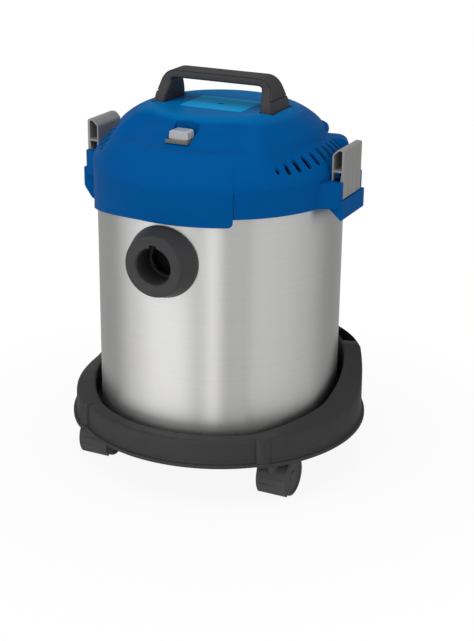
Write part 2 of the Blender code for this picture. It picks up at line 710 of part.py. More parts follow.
def make_drum():
    """Thin steel drum with a rolled rim and a round hole for the inlet."""
    section = (
        (0.0, DRUM_BASE), (DRUM_RADIUS - DRUM_FOOT_ROUND, DRUM_BASE),
        (DRUM_RADIUS, DRUM_BASE + DRUM_FOOT_ROUND), (DRUM_RADIUS, DRUM_TOP),
        (DRUM_RADIUS - RIM_ROLL, DRUM_TOP), (DRUM_RADIUS - RIM_ROLL, DRUM_TOP - RIM_ROLL),
        (DRUM_INNER, DRUM_TOP - RIM_ROLL), (DRUM_INNER, DRUM_BASE + DRUM_FOOT_ROUND),
        (DRUM_RADIUS - DRUM_FOOT_ROUND, DRUM_BASE + DRUM_WALL), (0.0, DRUM_BASE + DRUM_WALL),
    )
    return turned("steel_drum", section, "brushed steel")


def make_inlet(drum):
    """Port outside the drum, gasket, deflector inside the drum, and the two screws between them."""
    outside = DRUM_RADIUS + SEAT_GAP + GASKET_THICK
    clear = SPIGOT_OUTER + SEAT_GAP
    start = DRUM_RADIUS - INLET_BASE_RADIUS
    port = inlet_turned("inlet_port", (
        (0.0, start), (INLET_BASE_RADIUS, start), (INLET_BASE_RADIUS, DRUM_RADIUS),
        (INLET_FACE_RADIUS, INLET_FACE - INLET_EDGE), (INLET_FACE_RADIUS - INLET_EDGE, INLET_FACE),
        (0.0, INLET_FACE),
    ), "black plastic", 32)
    cut(port, drum_guide("port_saddle", outside))
    spigot_start = DRUM_RADIUS - SPIGOT_REACH
    spigot = ring_section(0.0, SPIGOT_OUTER, spigot_start, DRUM_RADIUS + INLET_REACH / 2)
    fuse(port, inlet_turned("port_spigot", spigot))
    past = INLET_FACE + INLET_REACH
    cut(port, inlet_turned("port_bore", ring_section(0.0, INLET_BORE, start, past)))
    key = bmesh.new()
    key_top = INLET_HEIGHT + INLET_BORE + KEY_DEPTH
    add_box(key, (-KEY_WIDTH / 2, -past, INLET_HEIGHT + INLET_BORE / 2), (KEY_WIDTH / 2, -start, key_top))
    cut(port, make_guide("port_key", key))

    rim = INLET_BASE_RADIUS - INLET_EDGE / 2
    gasket = inlet_turned("inlet_gasket", ring_section(clear, rim, start, INLET_FACE), "rubber", 24)
    keep(gasket, drum_guide("gasket_outside", outside - SEAT_GAP))
    cut(gasket, drum_guide("gasket_inside", DRUM_RADIUS + SEAT_GAP))

    inside = DRUM_INNER - SEAT_GAP
    flange = ring_section(0.0, DEFLECTOR_FLANGE, start, DRUM_RADIUS)
    deflector = inlet_turned("inlet_deflector", flange, "black plastic", 24)
    keep(deflector, drum_guide("deflector_flange_face", inside))
    cut(deflector, drum_guide("deflector_flange_back", inside - DEFLECTOR_WALL))
    tube = clear + DEFLECTOR_WALL
    deflector_end = DRUM_RADIUS - DEFLECTOR_REACH
    snout = inlet_turned("deflector_snout", ring_section(0.0, tube, deflector_end, DRUM_RADIUS))
    keep(snout, drum_guide("deflector_saddle", inside - DEFLECTOR_WALL / 3))
    fuse(deflector, snout)
    bore_start = deflector_end + DEFLECTOR_WALL
    cut(deflector, inlet_turned("deflector_bore", ring_section(0.0, clear, bore_start, past)))
    mouth = bmesh.new()
    mouth_high = INLET_HEIGHT - INLET_BORE / 4
    mouth_front = DRUM_RADIUS - SPIGOT_REACH - SEAT_GAP
    mouth_back = bore_start + DEFLECTOR_WALL / 5
    wide = tube + SPIGOT_WALL
    add_box(mouth, (-wide, -mouth_front, INLET_HEIGHT - 2 * tube), (wide, -mouth_back, mouth_high))
    cut(deflector, make_guide("deflector_mouth", mouth))

    cut(drum, inlet_turned("drum_inlet_hole", ring_section(0.0, clear, start, past)))
    screw_seat = math.sqrt((inside - DEFLECTOR_WALL) ** 2 - (INLET_SCREW_OFFSET + SCREW_HEAD_RADIUS) ** 2)
    screw_start = screw_seat - SCREW_HEAD_HEIGHT - SEAT_GAP
    shank = INLET_FACE - INLET_REACH / 2 - screw_start
    for hand, side in (("left", -1), ("right", 1)):
        place = Vector((side * INLET_SCREW_OFFSET, -screw_start, INLET_HEIGHT))
        laid_turned("inlet_screw_" + hand, screw_section(shank), "zinc steel", place, (0, -1, 0), 12)
        wide = SCREW_RADIUS + SEAT_GAP
        tip = shank + SCREW_RADIUS + SEAT_GAP
        drill = ring_section(0.0, wide, 0.0, tip)
        guide = laid_turned("inlet_screw_hole_" + hand, drill, None, place, (0, -1, 0), 12)
        for piece in (port, gasket, drum, deflector):
            cut(piece, guide)


# ================================================================ collar with latch brackets
def apron_span(angle, margin=0.0):
    """Whether the head's apron hangs at this angle."""
    return APRON_LEFT - margin <= angle <= APRON_RIGHT + margin


def collar_section(angle):
    """Closed outline of the collar's ring, which clips over the drum's rim."""
    shelf_top = DRUM_TOP + SEAT_GAP + COLLAR_SHELF
    outer = BAND_RADIUS
    if apron_span(angle, 2 * APRON_GAP):
        outer = COLLAR_INNER + COLLAR_THIN_WALL
    outline = (
        (outer, COLLAR_BOTTOM), (outer, COLLAR_TOP), (COLLAR_INNER, COLLAR_TOP),
        (COLLAR_INNER, shelf_top), (COLLAR_INNER - COLLAR_SHELF_REACH, shelf_top),
        (COLLAR_INNER - COLLAR_SHELF_REACH, DRUM_TOP + SEAT_GAP), (COLLAR_INNER, DRUM_TOP + SEAT_GAP),
        (COLLAR_INNER, COLLAR_BOTTOM),
    )
    return [polar(radius, angle, height) for radius, height in outline]


def add_bracket(mesh_edit, side):
    """Pad that carries a latch, with tapered ends."""
    root = DRUM_RADIUS - COLLAR_WALL
    ends = math.sqrt(BAND_RADIUS ** 2 - BRACKET_HALF ** 2)
    reach = BAND_RADIUS + BRACKET_REACH
    outline = (
        (root, -BRACKET_HALF), (ends, -BRACKET_HALF), (reach, -BRACKET_EAR_HALF),
        (reach, BRACKET_EAR_HALF), (ends, BRACKET_HALF), (root, BRACKET_HALF),
    )
    add_prism(mesh_edit, [(side * x, y) for x, y in outline], COLLAR_BOTTOM, COLLAR_TOP)


def add_tongue(mesh_edit, side):
    """Grip lip that hangs under the latch and closes its pocket from outside."""
    root = DRUM_RADIUS - COLLAR_WALL
    reach = BAND_RADIUS + TONGUE_REACH
    root_low = COLLAR_BOTTOM - (LEFT_TONGUE_ROOT_DROP if side < 0 else 0.0)
    knee = mix(BAND_RADIUS, reach, 0.35)
    outline = (
        (root, root_low), (BAND_RADIUS, root_low),
        (knee, min(root_low, COLLAR_BOTTOM - TONGUE_DROP / 3)),
        (reach, COLLAR_BOTTOM - TONGUE_DROP),
        (reach, LATCH_BOTTOM - SEAT_GAP), (root, LATCH_BOTTOM - SEAT_GAP),
    )
    add_prism(mesh_edit, [(side * x, z) for x, z in outline], -TONGUE_HALF, TONGUE_HALF, "xzy")


def make_collar():
    """Blue ring on the drum's rim with a bracket for each latch."""
    angles = ring_angles(ROUND_STEP, APRON_MARKS)
    mesh_edit = bmesh.new()
    add_ring_loft(mesh_edit, [collar_section(angle) for angle in angles])
    collar = make_object("drum_collar", mesh_edit, "blue plastic")

    barrel_room = LATCH_BARREL + RUN_GAP / 2
    swing = math.hypot(LATCH_FACE - LATCH_PIVOT, LATCH_PIVOT_HEIGHT - LATCH_BOTTOM)
    pocket_floor = LATCH_PIVOT_HEIGHT - swing - SEAT_GAP
    hollow_low = COLLAR_BOTTOM - 2 * LEFT_TONGUE_ROOT_DROP
    shape = bmesh.new()
    add_drum_shape(shape, COLLAR_INNER + SEAT_GAP, hollow_low, COLLAR_TOP + COLLAR_WALL)
    hollow = make_guide("bracket_hollow", shape)
    for hand, side in (("left", -1), ("right", 1)):
        shape = bmesh.new()
        add_bracket(shape, side)
        bracket = make_guide("bracket_" + hand, shape)
        shape = bmesh.new()
        add_tongue(shape, side)
        fuse(bracket, make_guide("tongue_" + hand, shape))
        shape = bmesh.new()
        inner = side * (LATCH_PIVOT - barrel_room)
        outer = side * (LATCH_FACE + SEAT_GAP)
        wide = LATCH_HALF + SEAT_GAP
        lows = (min(inner, outer), -wide, pocket_floor)
        highs = (max(inner, outer), wide, COLLAR_TOP + COLLAR_WALL)
        add_box(shape, lows, highs)
        grip_inner = side * (BAND_RADIUS + SEAT_GAP)
        grip_outer = side * (BAND_RADIUS + TONGUE_REACH - LATCH_WALL)
        grip_top = COLLAR_BOTTOM - TONGUE_DROP + GRIP_DEPTH
        lows = (min(grip_inner, grip_outer), -TONGUE_HALF + LATCH_WALL, hollow_low)
        highs = (max(grip_inner, grip_outer), TONGUE_HALF - LATCH_WALL, grip_top)
        add_box(shape, lows, highs)
        cut(bracket, make_guide("latch_pocket_" + hand, shape))
        cut(bracket, hollow)
        fuse(collar, bracket)
        pin = LATCH_PIN_RADIUS + SEAT_GAP
        reach = LATCH_PIN_HALF + SEAT_GAP
        place = Vector((side * LATCH_PIVOT, 0.0, LATCH_PIVOT_HEIGHT))
        drill = ring_section(0.0, pin, -reach, reach)
        cut(collar, laid_turned("latch_pin_hole_" + hand, drill, None, place, (0, 1, 0), 12))
        rod = ring_section(0.0, LATCH_PIN_RADIUS, -LATCH_PIN_HALF, LATCH_PIN_HALF)
        laid_turned("latch_pin_" + hand, rod, "zinc steel", place, (0, 1, 0), 12)
    notch = PORT_BORE + PORT_WALL + 2 * SEAT_GAP
    section = ring_section(0.0, notch, COLLAR_INNER - COLLAR_WALL, BAND_RADIUS + COLLAR_WALL)
    cut(collar, laid_turned("port_notch", section, None, Vector((0.0, 0.0, PORT_HEIGHT)), (0, 1, 0), 24))


def make_latch(hand, side):
    """Hollow lever that swings out at its top and holds the head down with its inner bar."""
    face_inner = LATCH_FACE - LATCH_FACE_THICK
    leg = LATCH_INNER + LATCH_WALL
    bar_top = LATCH_BAR_HEIGHT + LATCH_BAR_THICK
    chamfer = LATCH_TOP - LATCH_CHAMFER
    edge = LATCH_WALL / 2
    outline = [(LATCH_FACE, LATCH_BOTTOM), (LATCH_FACE, LATCH_TOP - edge), (LATCH_FACE - edge, LATCH_TOP),
               (LATCH_INNER + LATCH_CHAMFER, LATCH_TOP), (LATCH_INNER, chamfer), (LATCH_INNER, LATCH_FOOT),
               (leg, LATCH_FOOT), (leg, LATCH_BAR_HEIGHT), (face_inner, LATCH_BAR_HEIGHT)]
    outline += arc((LATCH_PIVOT, LATCH_PIVOT_HEIGHT), LATCH_BARREL, 60.0, 300.0, 8)
    outline.append((face_inner, LATCH_BOTTOM))
    shape = bmesh.new()
    add_prism(shape, [(side * x, z) for x, z in outline], -LATCH_HALF, LATCH_HALF, "xzy")
    origin = (side * LATCH_PIVOT, 0.0, LATCH_PIVOT_HEIGHT)
    latch = make_object("latch_" + hand, shape, "grey plastic", origin)
    slope = 0.4 * LATCH_WALL
    roof = LATCH_TOP - LATCH_WALL
    hollow = ((face_inner, bar_top), (face_inner, roof), (LATCH_INNER + LATCH_CHAMFER + slope, roof),
              (leg, chamfer - slope), (leg, bar_top))
    shape = bmesh.new()
    add_prism(shape, [(side * x, z) for x, z in hollow], -2 * LATCH_HALF, 2 * LATCH_HALF, "xzy")
    wide = LUG_HALF + LATCH_BAR_THICK / 3
    near, far = LATCH_INNER - LATCH_WALL, leg + SEAT_GAP
    window = ring_section(near, far, LATCH_FOOT - LATCH_WALL, LATCH_BAR_HEIGHT)
    add_prism(shape, [(side * x, z) for x, z in window], -wide, wide, "xzy")
    cut(latch, make_guide("latch_hollow_" + hand, shape))
    grooves = bmesh.new()
    for groove in range(LATCH_GROOVES):
        middle = LATCH_HALF * (2 * (groove + 1) / (LATCH_GROOVES + 1) - 1)
        width = LATCH_WALL / 2
        x_pair = sorted((side * (LATCH_FACE - LATCH_WALL / 5), side * (LATCH_FACE + LATCH_WALL)))
        add_box(grooves, (x_pair[0], middle - width / 2, LATCH_BOTTOM - LATCH_WALL),
                (x_pair[1], middle + width / 2, LATCH_TOP - 2 * LATCH_WALL))
    cut(latch, make_guide("latch_grooves_" + hand, grooves))
    bore = LATCH_PIN_RADIUS + SEAT_GAP
    drill = ring_section(0.0, bore, -2 * LATCH_HALF, 2 * LATCH_HALF)
    cut(latch, laid_turned("latch_bore_" + hand, drill, None, Vector(origin), (0, 1, 0), 12))


# ================================================================ head cover
def side_profile(angle):
    """Outer points from the crown down the scooped side to the band."""
    foot = DOME_SHOULDER_RADIUS + 0.002
    span = BAND_RADIUS - foot
    lift = VENT_RISE * smooth((abs(angle) - VENT_RISE_START) / VENT_RISE_SPAN)
    return [
        (mix(DOME_CROWN_RADIUS, DOME_SHOULDER_RADIUS, 0.40), mix(DOME_HEIGHT, DOME_SHOULDER_HEIGHT, 0.24)),
        (mix(DOME_CROWN_RADIUS, DOME_SHOULDER_RADIUS, 0.76), mix(DOME_HEIGHT, DOME_SHOULDER_HEIGHT, 0.62)),
        (DOME_SHOULDER_RADIUS, DOME_SHOULDER_HEIGHT),
        (foot, DOME_FOOT_HEIGHT + 0.5 * lift),
        (foot + 0.16 * span, mix(SCOOP_RIM_HEIGHT, DOME_FOOT_HEIGHT, 0.58) + 0.8 * lift),
        (foot + 0.42 * span, mix(SCOOP_RIM_HEIGHT, DOME_FOOT_HEIGHT, 0.28) + lift),
        (foot + 0.72 * span, SCOOP_RIM_HEIGHT + 0.6 * lift),
        (foot + 0.92 * span, 0.66 * SCOOP_RIM_HEIGHT + 0.2 * lift),
        (BAND_RADIUS, 0.30 * SCOOP_RIM_HEIGHT),
        (BAND_RADIUS, 0.16 * SCOOP_RIM_HEIGHT),
    ]


def rear_profile(angle):
    """Outer points from the crown to the bulge behind each latch and the blower port's housing."""
    top = follow(REAR_BULGE_RISE, abs(angle))
    foot = DOME_SHOULDER_RADIUS + 0.002
    span = BAND_RADIUS - foot
    near = side_profile(angle)[:3]
    return near + [
        (foot, max(DOME_FOOT_HEIGHT, top + 0.0005)),
        (foot + 0.16 * span, top + 0.0003),
        (foot + 0.42 * span, top),
        (foot + 0.72 * span, top - 0.001),
        (foot + 0.92 * span, top - 0.0045),
        (BAND_RADIUS, top - 0.011),
        (BAND_RADIUS, 0.16 * SCOOP_RIM_HEIGHT),
    ]


def apron_radius(angle):
    """Outer radius of the apron, which thins towards the left bracket."""
    taper = smooth((APRON_SWEEP_START - angle) / 45.0)
    return BAND_RADIUS + APRON_PROUD - APRON_TAPER * taper


def brow_profile(angle):
    """Outer points of the rounded slope over the apron."""
    edge = apron_radius(angle) if apron_span(angle) else BAND_RADIUS
    points = []
    for step in range(1, 11):
        turn = math.radians(mix(12.0, 90.0, (step - 1) / 9))
        radius = DOME_CROWN_RADIUS + (edge - DOME_CROWN_RADIUS) * math.sin(turn) ** (2 / BROW_POWER)
        points.append((radius, DOME_HEIGHT * math.cos(turn) ** (2 / BROW_POWER)))
    points[-1] = (edge, 0.10 * SCOOP_RIM_HEIGHT)
    return points


def dish_depth(radius, angle):
    """How far the hollow round the switch lowers the front slope."""
    back = smooth((radius - DOME_CROWN_RADIUS) / DISH_BACK)
    front = smooth((DOME_CROWN_RADIUS + DISH_REACH - radius) / DISH_FRONT)
    ends = smooth((DISH_HALF_ANGLE - abs(angle)) / DISH_END)
    return DISH_DEPTH * back * front * ends


def apron_edge(angle):
    """Height of the head's lower edge."""
    if not apron_span(angle):
        return HEAD_EDGE
    past = max(APRON_SWEEP_START - angle, 0.0) / (APRON_SWEEP_START - APRON_LEFT)
    return COLLAR_TOP - APRON_DROP - APRON_SWEEP_DROP * past ** 1.5


def cover_profile(angle):
    """Outer (radius, height) points of the head cover at one angle, from the top to the edge."""
    base = rear_profile(angle) if abs(angle) >= REAR_BULGE_ANGLE else side_profile(angle)
    brow = brow_profile(angle)
    points = [
        (DOME_FLAT_RADIUS, DOME_HEIGHT - 0.0008),
        (mix(DOME_FLAT_RADIUS, DOME_CROWN_RADIUS, 0.45), DOME_HEIGHT),
        (DOME_CROWN_RADIUS, DOME_HEIGHT - 0.0004),
    ]
    for place, (near, far) in enumerate(zip(base, brow)):
        limit = mix(BROW_CROWN_ANGLE, BROW_FOOT_ANGLE, place / (len(base) - 1))
        share = smooth((limit + 9.0 - abs(angle)) / 18.0)
        points.append((mix(near[0], far[0], share), mix(near[1], far[1], share)))
    points = [(radius, COLLAR_TOP + height - dish_depth(radius, angle)) for radius, height in points]
    if apron_span(angle):
        points[-1] = (apron_radius(angle), COLLAR_TOP)
        points.append((apron_radius(angle), apron_edge(angle)))
    else:
        points.append((points[-1][0], HEAD_EDGE))
    return points


def inset_profile(points, depth):
    """Same points moved into the wall by a depth."""
    moved = []
    for place, (radius, height) in enumerate(points):
        before = points[max(place - 1, 0)]
        after = points[min(place + 1, len(points) - 1)]
        run, fall = after[0] - before[0], before[1] - after[1]
        if place == 0:
            run, fall = 1.0, 0.0
        length = math.hypot(run, fall)
        moved.append((radius - depth * fall / length, height - depth * run / length))
    return moved


def cover_angles(step):
    """Angles of the head cover's columns, with close pairs where it steps."""
    marks = list(APRON_MARKS)
    for side in (-1, 1):
        marks += [side * REAR_BULGE_ANGLE, side * (REAR_BULGE_ANGLE - 2.0)]
    return ring_angles(step, marks)


def cover_inner_points(angle, outer_points):
    """Inner surface of the cover, kept clear of the collar under the apron."""
    clear = COLLAR_INNER + COLLAR_THIN_WALL + SEAT_GAP
    inner_points = inset_profile(outer_points, COVER_WALL)
    edge = outer_points[-1]
    inner_points[-1] = (edge[0] - COVER_WALL, edge[1])
    if apron_span(angle):
        for place in (-2, -1):
            radius, height = outer_points[place]
            inner_points[place] = (max(radius - COVER_WALL, clear), height)
    return inner_points


def add_cover_shell(mesh_edit, step):
    """Closed shell of the cover."""
    angles = cover_angles(step)
    outer = [cover_profile(angle) for angle in angles]
    inner = [cover_inner_points(angle, points) for angle, points in zip(angles, outer)]
    rings = []
    for place in range(len(outer[0])):
        rings.append([mesh_edit.verts.new(polar(point[place][0], angle, point[place][1]))
                      for angle, point in zip(angles, outer)])
    last = len(inner[0]) - 1
    for place in [last, last - 1, *range(last - 2, 0, -2), 0]:
        rings.append([mesh_edit.verts.new(polar(point[place][0], angle, point[place][1]))
                      for angle, point in zip(angles, inner)])
    skin_rings(mesh_edit, rings, close=False)
    mesh_edit.faces.new(rings[0])
    mesh_edit.faces.new(rings[-1])


def make_cover_core(step):
    """Solid inside the middle of the cover's wall, which trims what is added under it."""
    angles = cover_angles(step)
    columns = [inset_profile(cover_profile(angle), COVER_WALL / 2) for angle in angles]
    mesh_edit = bmesh.new()
    rings = []
    for place in range(len(columns[0]) - 1):
        rings.append([mesh_edit.verts.new(polar(column[place][0], angle, column[place][1]))
                      for angle, column in zip(angles, columns)])
    low = DRUM_TOP
    rings.append([mesh_edit.verts.new(polar(BAND_RADIUS - COVER_WALL, angle, low)) for angle in angles])
    skin_rings(mesh_edit, rings, close=False)
    mesh_edit.faces.new(rings[0])
    mesh_edit.faces.new(rings[-1])
    return make_guide("cover_core", mesh_edit)


SWITCH_HALF = SWITCH_SIZE / 2
POCKET_HALF = SWITCH_HALF + SWITCH_MARGIN
WINDOW_HALF_X = ROCKER_LENGTH / 2 + RUN_GAP
WINDOW_HALF_Y = ROCKER_WIDTH / 2 + RUN_GAP
FOOT_POCKET_HALF = HANDLE_FOOT_HALF + HANDLE_POCKET_MARGIN
FOOT_POCKET_FLOOR = HANDLE_FOOT_BASE - SEAT_GAP
BASE_LOW = DRUM_TOP + SEAT_GAP + COLLAR_SHELF + SEAT_GAP + SEAL_HEIGHT + SEAT_GAP
BASE_TOP = BASE_LOW + BASE_THICK
DOME_LIMIT = COLLAR_TOP + DOME_HEIGHT + COVER_WALL
GLAND_PLACE = polar(BAND_RADIUS - COVER_WALL, GLAND_ANGLE, GLAND_HEIGHT)


def foot_pocket_span():
    """Inner and outer distance of a handle foot's pocket from the centre."""
    lean = (HANDLE_FOOT - HANDLE_SHOULDER) * 0.2
    near = HANDLE_FOOT - HANDLE_THICK / 2 - HANDLE_POCKET_MARGIN - lean
    return near, HANDLE_FOOT + HANDLE_THICK / 2 + HANDLE_POCKET_MARGIN


def make_head_cover():
    """Blue cover with its pockets, vents, screw posts and latch lugs."""
    mesh_edit = bmesh.new()
    add_cover_shell(mesh_edit, ROUND_STEP)
    cover = make_object("head_cover", mesh_edit, "blue plastic")

    blocks = bmesh.new()
    wall = COVER_WALL
    sink = POCKET_HALF + wall
    add_box(blocks, (-sink, -SWITCH_CENTRE - sink, SWITCH_FLOOR - wall),
            (sink, -SWITCH_CENTRE + sink, DOME_LIMIT))
    near, far = foot_pocket_span()
    for side in (-1, 1):
        x_pair = sorted((side * (near - wall), side * (far + wall)))
        deep = FOOT_POCKET_HALF + wall
        add_box(blocks, (x_pair[0], -deep, FOOT_POCKET_FLOOR - wall), (x_pair[1], deep, DOME_LIMIT))
    pilots = bmesh.new()
    post_low = BASE_TOP + SEAT_GAP
    for angle in POST_ANGLES:
        place = polar(POST_CIRCLE, angle, 0.0)
        add_drum_shape(blocks, POST_RADIUS, post_low, DOME_LIMIT, 12, (place.x, place.y))
        pilot = SCREW_RADIUS + SEAT_GAP
        add_drum_shape(pilots, pilot, post_low - wall, post_low + PILOT_DEPTH, 12, (place.x, place.y))
    fill = make_guide("cover_blocks", blocks)
    keep(fill, make_cover_core(ROUND_STEP))
    fuse(cover, fill)

    lugs = bmesh.new()
    lug_low = LATCH_BAR_HEIGHT - SEAT_GAP - LUG_THICK
    for side in (-1, 1):
        x_pair = sorted((side * (BAND_RADIUS - wall), side * (BAND_RADIUS + LUG_REACH)))
        add_box(lugs, (x_pair[0], -LUG_HALF, lug_low), (x_pair[1], LUG_HALF, lug_low + LUG_THICK))
    fuse(cover, make_guide("latch_lugs", lugs))

    pockets = bmesh.new()
    front = -SWITCH_CENTRE - POCKET_HALF
    add_box(pockets, (-POCKET_HALF, front, SWITCH_FLOOR),
            (POCKET_HALF, front + 2 * POCKET_HALF, DOME_LIMIT))
    for side in (-1, 1):
        x_pair = sorted((side * near, side * far))
        add_box(pockets, (x_pair[0], -FOOT_POCKET_HALF, FOOT_POCKET_FLOOR),
                (x_pair[1], FOOT_POCKET_HALF, DOME_LIMIT))
    cut(cover, make_guide("cover_pockets", pockets))
    hole = bmesh.new()
    add_box(hole, (-WINDOW_HALF_X, -SWITCH_CENTRE - WINDOW_HALF_Y, SWITCH_FLOOR - 2 * wall),
            (WINDOW_HALF_X, -SWITCH_CENTRE + WINDOW_HALF_Y, SWITCH_FLOOR + wall))
    cut(cover, make_guide("switch_hole", hole))
    cut(cover, make_guide("post_pilots", pilots))

    slots = bmesh.new()
    slot_start = DOME_SHOULDER_RADIUS + COVER_WALL + VENT_WIDTH
    for side in (-1, 1):
        for vent in range(VENT_COUNT):
            angle = side * (VENT_FIRST + vent * VENT_PITCH)
            outward = polar(1.0, angle, 0.0)
            across = polar(1.0, angle + 90.0, 0.0) * (VENT_WIDTH / 2)
            share = VENT_SHARES[vent] if vent < len(VENT_SHARES) else 1.0
            begin = VENT_LENGTH * (1.0 - share)
            corners = []
            for distance, hand in ((begin, -1), (VENT_LENGTH, -1), (VENT_LENGTH, 1), (begin, 1)):
                point = outward * (slot_start + distance) + across * hand
                corners.append((point.x, point.y))
            add_prism(slots, corners, COLLAR_TOP + wall, COLLAR_TOP + DOME_SHOULDER_HEIGHT)
    cut(cover, make_guide("vent_slots", slots))

    port = PORT_BORE + PORT_WALL + SEAT_GAP
    section = ring_section(0.0, port, DOME_SHOULDER_RADIUS, 2 * BAND_RADIUS)
    cut(cover, laid_turned("port_hole", section, None, Vector((0.0, 0.0, PORT_HEIGHT)), (0, 1, 0), 24))
    gland = GLAND_RADIUS + SEAT_GAP
    section = ring_section(0.0, gland, -3 * wall, 3 * wall)
    cut(cover, laid_turned("gland_hole", section, None, GLAND_PLACE, polar(1.0, GLAND_ANGLE, 0.0), 16))


# ================================================================ carry handle
def handle_path(steps):
    """Middle line of the handle in the XZ plane, from the left foot to the right foot."""
    top = HANDLE_TOP - HANDLE_THICK / 2
    foot = Vector((HANDLE_FOOT, HANDLE_FOOT_BASE))
    corner = Vector((HANDLE_SHOULDER, top))
    along = (corner - foot).normalized()
    turn = math.acos(max(-1.0, min(1.0, along.dot(Vector((-1.0, 0.0))))))
    setback = HANDLE_CORNER * math.tan(turn / 2)
    normal = Vector((-along.y, along.x))
    middle = corner - along * setback + normal * HANDLE_CORNER
    right = [foot.lerp(corner - along * setback, share) for share in (0.0, 0.25, 0.5, 0.8)]
    start = math.atan2(-normal.y, -normal.x)
    for step in range(steps + 1):
        angle = start + turn * step / steps
        right.append(middle + HANDLE_CORNER * Vector((math.cos(angle), math.sin(angle))))
    right.append(Vector((HANDLE_SHOULDER / 3, top)))
    left = [Vector((-point.x, point.y)) for point in right]
    return left + list(reversed(right))


def path_normals(path):
    """Unit normals of the handle's path, pointing away from the dome."""
    normals = []
    for place in range(len(path)):
        ahead = path[min(place + 1, len(path) - 1)] - path[max(place - 1, 0)]
        normals.append(Vector((-ahead.y, ahead.x)).normalized())
    return normals


def handle_half_width(height):
    """Half the handle's width along Y at a height."""
    share = smooth((height - HANDLE_FOOT_BASE) / (HANDLE_TOP - HANDLE_THICK - HANDLE_FOOT_BASE))
    return mix(HANDLE_FOOT_HALF, HANDLE_BAR_HALF, share)


def add_strip(mesh_edit, path, normals, halves, lows, highs, edge):
    """Rounded flat bar along a path, between a low and a high offset from the path."""
    rings = []
    for point, normal, half, low, high in zip(path, normals, halves, lows, highs):
        outline = (
            (low, -half + edge), (low, half - edge), (low + edge, half), (high - edge, half),
            (high, half - edge), (high, -half + edge), (high - edge, -half), (low + edge, -half),
        )
        ring = []
        for offset, across in outline:
            place = point + normal * offset
            ring.append(mesh_edit.verts.new((place.x, across, place.y)))
        rings.append(ring)
    skin_rings(mesh_edit, rings, close=False)
    mesh_edit.faces.new(rings[0])
    mesh_edit.faces.new(rings[-1])


def split_at_line(path):
    """Path with two close points where it crosses the grip's lower line."""
    points = [path[0]]
    for before, after in zip(path, path[1:]):
        low, high = sorted((before.y, after.y))
        if low < GRIP_LINE < high:
            share = (GRIP_LINE - before.y) / (after.y - before.y)
            points.append(before.lerp(after, share - 0.01))
            points.append(before.lerp(after, share + 0.01))
        points.append(after)
    return points


def make_handle():
    """Arched handle and the soft strip let into its outer face."""
    path = split_at_line(handle_path(6))
    normals = path_normals(path)
    normals[0] = Vector((-1.0, 0.0))
    normals[-1] = Vector((1.0, 0.0))
    halves = [handle_half_width(point.y) for point in path]
    half_thick = HANDLE_THICK / 2
    gripped = [point.y > GRIP_LINE for point in path]
    highs = [half_thick - (GRIP_THICK if grip else 0.0) for grip in gripped]
    shape = bmesh.new()
    add_strip(shape, path, normals, halves, [-half_thick] * len(path), highs, HANDLE_EDGE)
    make_object("carry_handle", shape, "black plastic", (0.0, 0.0, HANDLE_FOOT_BASE))

    held = [place for place, grip in enumerate(gripped) if grip]
    trim = [path[place].copy() for place in held]
    trim[0] = trim[0].lerp(trim[1], 0.1)
    trim[-1] = trim[-1].lerp(trim[-2], 0.1)
    strip_halves = [halves[place] - GRIP_MARGIN for place in held]
    low = half_thick - GRIP_THICK + SEAT_GAP
    shape = bmesh.new()
    add_strip(shape, trim, [normals[place] for place in held], strip_halves,
              [low] * len(trim), [half_thick] * len(trim), GRIP_THICK / 3)
    make_object("handle_grip", shape, "soft grip", (0.0, 0.0, HANDLE_TOP))


# ================================================================ switch
def make_switch():
    """Bezel and body fixed in the cover, and the rocker that tips about a Y axis."""
    bezel = bmesh.new()
    low = SWITCH_FLOOR + SEAT_GAP
    add_box(bezel, (-SWITCH_HALF, -SWITCH_CENTRE - SWITCH_HALF, low),
            (SWITCH_HALF, -SWITCH_CENTRE + SWITCH_HALF, low + SWITCH_PLATE))
    plate = make_object("switch_bezel", bezel, "black plastic")
    opening = bmesh.new()
    add_box(opening, (-WINDOW_HALF_X, -SWITCH_CENTRE - WINDOW_HALF_Y, low - SWITCH_PLATE),
            (WINDOW_HALF_X, -SWITCH_CENTRE + WINDOW_HALF_Y, low + 2 * SWITCH_PLATE))
    cut(plate, make_guide("bezel_opening", opening))

    body = bmesh.new()
    body_top = low + SWITCH_PLATE - ROCKER_VEE
    side_x = WINDOW_HALF_X - SEAT_GAP
    side_y = WINDOW_HALF_Y - SEAT_GAP
    add_box(body, (-side_x, -SWITCH_CENTRE - side_y, body_top - SWITCH_BODY_DEPTH),
            (side_x, -SWITCH_CENTRE + side_y, body_top))
    make_object("switch_body", body, "black plastic")

    vee = body_top + SEAT_GAP
    half = ROCKER_LENGTH / 2
    crown = vee + ROCKER_HEIGHT
    outline = (
        (0.0, vee), (half, vee + ROCKER_VEE), (half - ROCKER_EDGE, crown - ROCKER_EDGE),
        (half - 3 * ROCKER_EDGE, crown), (3 * ROCKER_EDGE - half, crown),
        (ROCKER_EDGE - half, crown - ROCKER_EDGE), (-half, vee + ROCKER_VEE),
    )
    rocker = bmesh.new()
    side = ROCKER_WIDTH / 2
    add_prism(rocker, outline, -SWITCH_CENTRE - side, -SWITCH_CENTRE + side, "xzy")
    make_object("switch_rocker", rocker, "clear cap", (0.0, -SWITCH_CENTRE, vee))


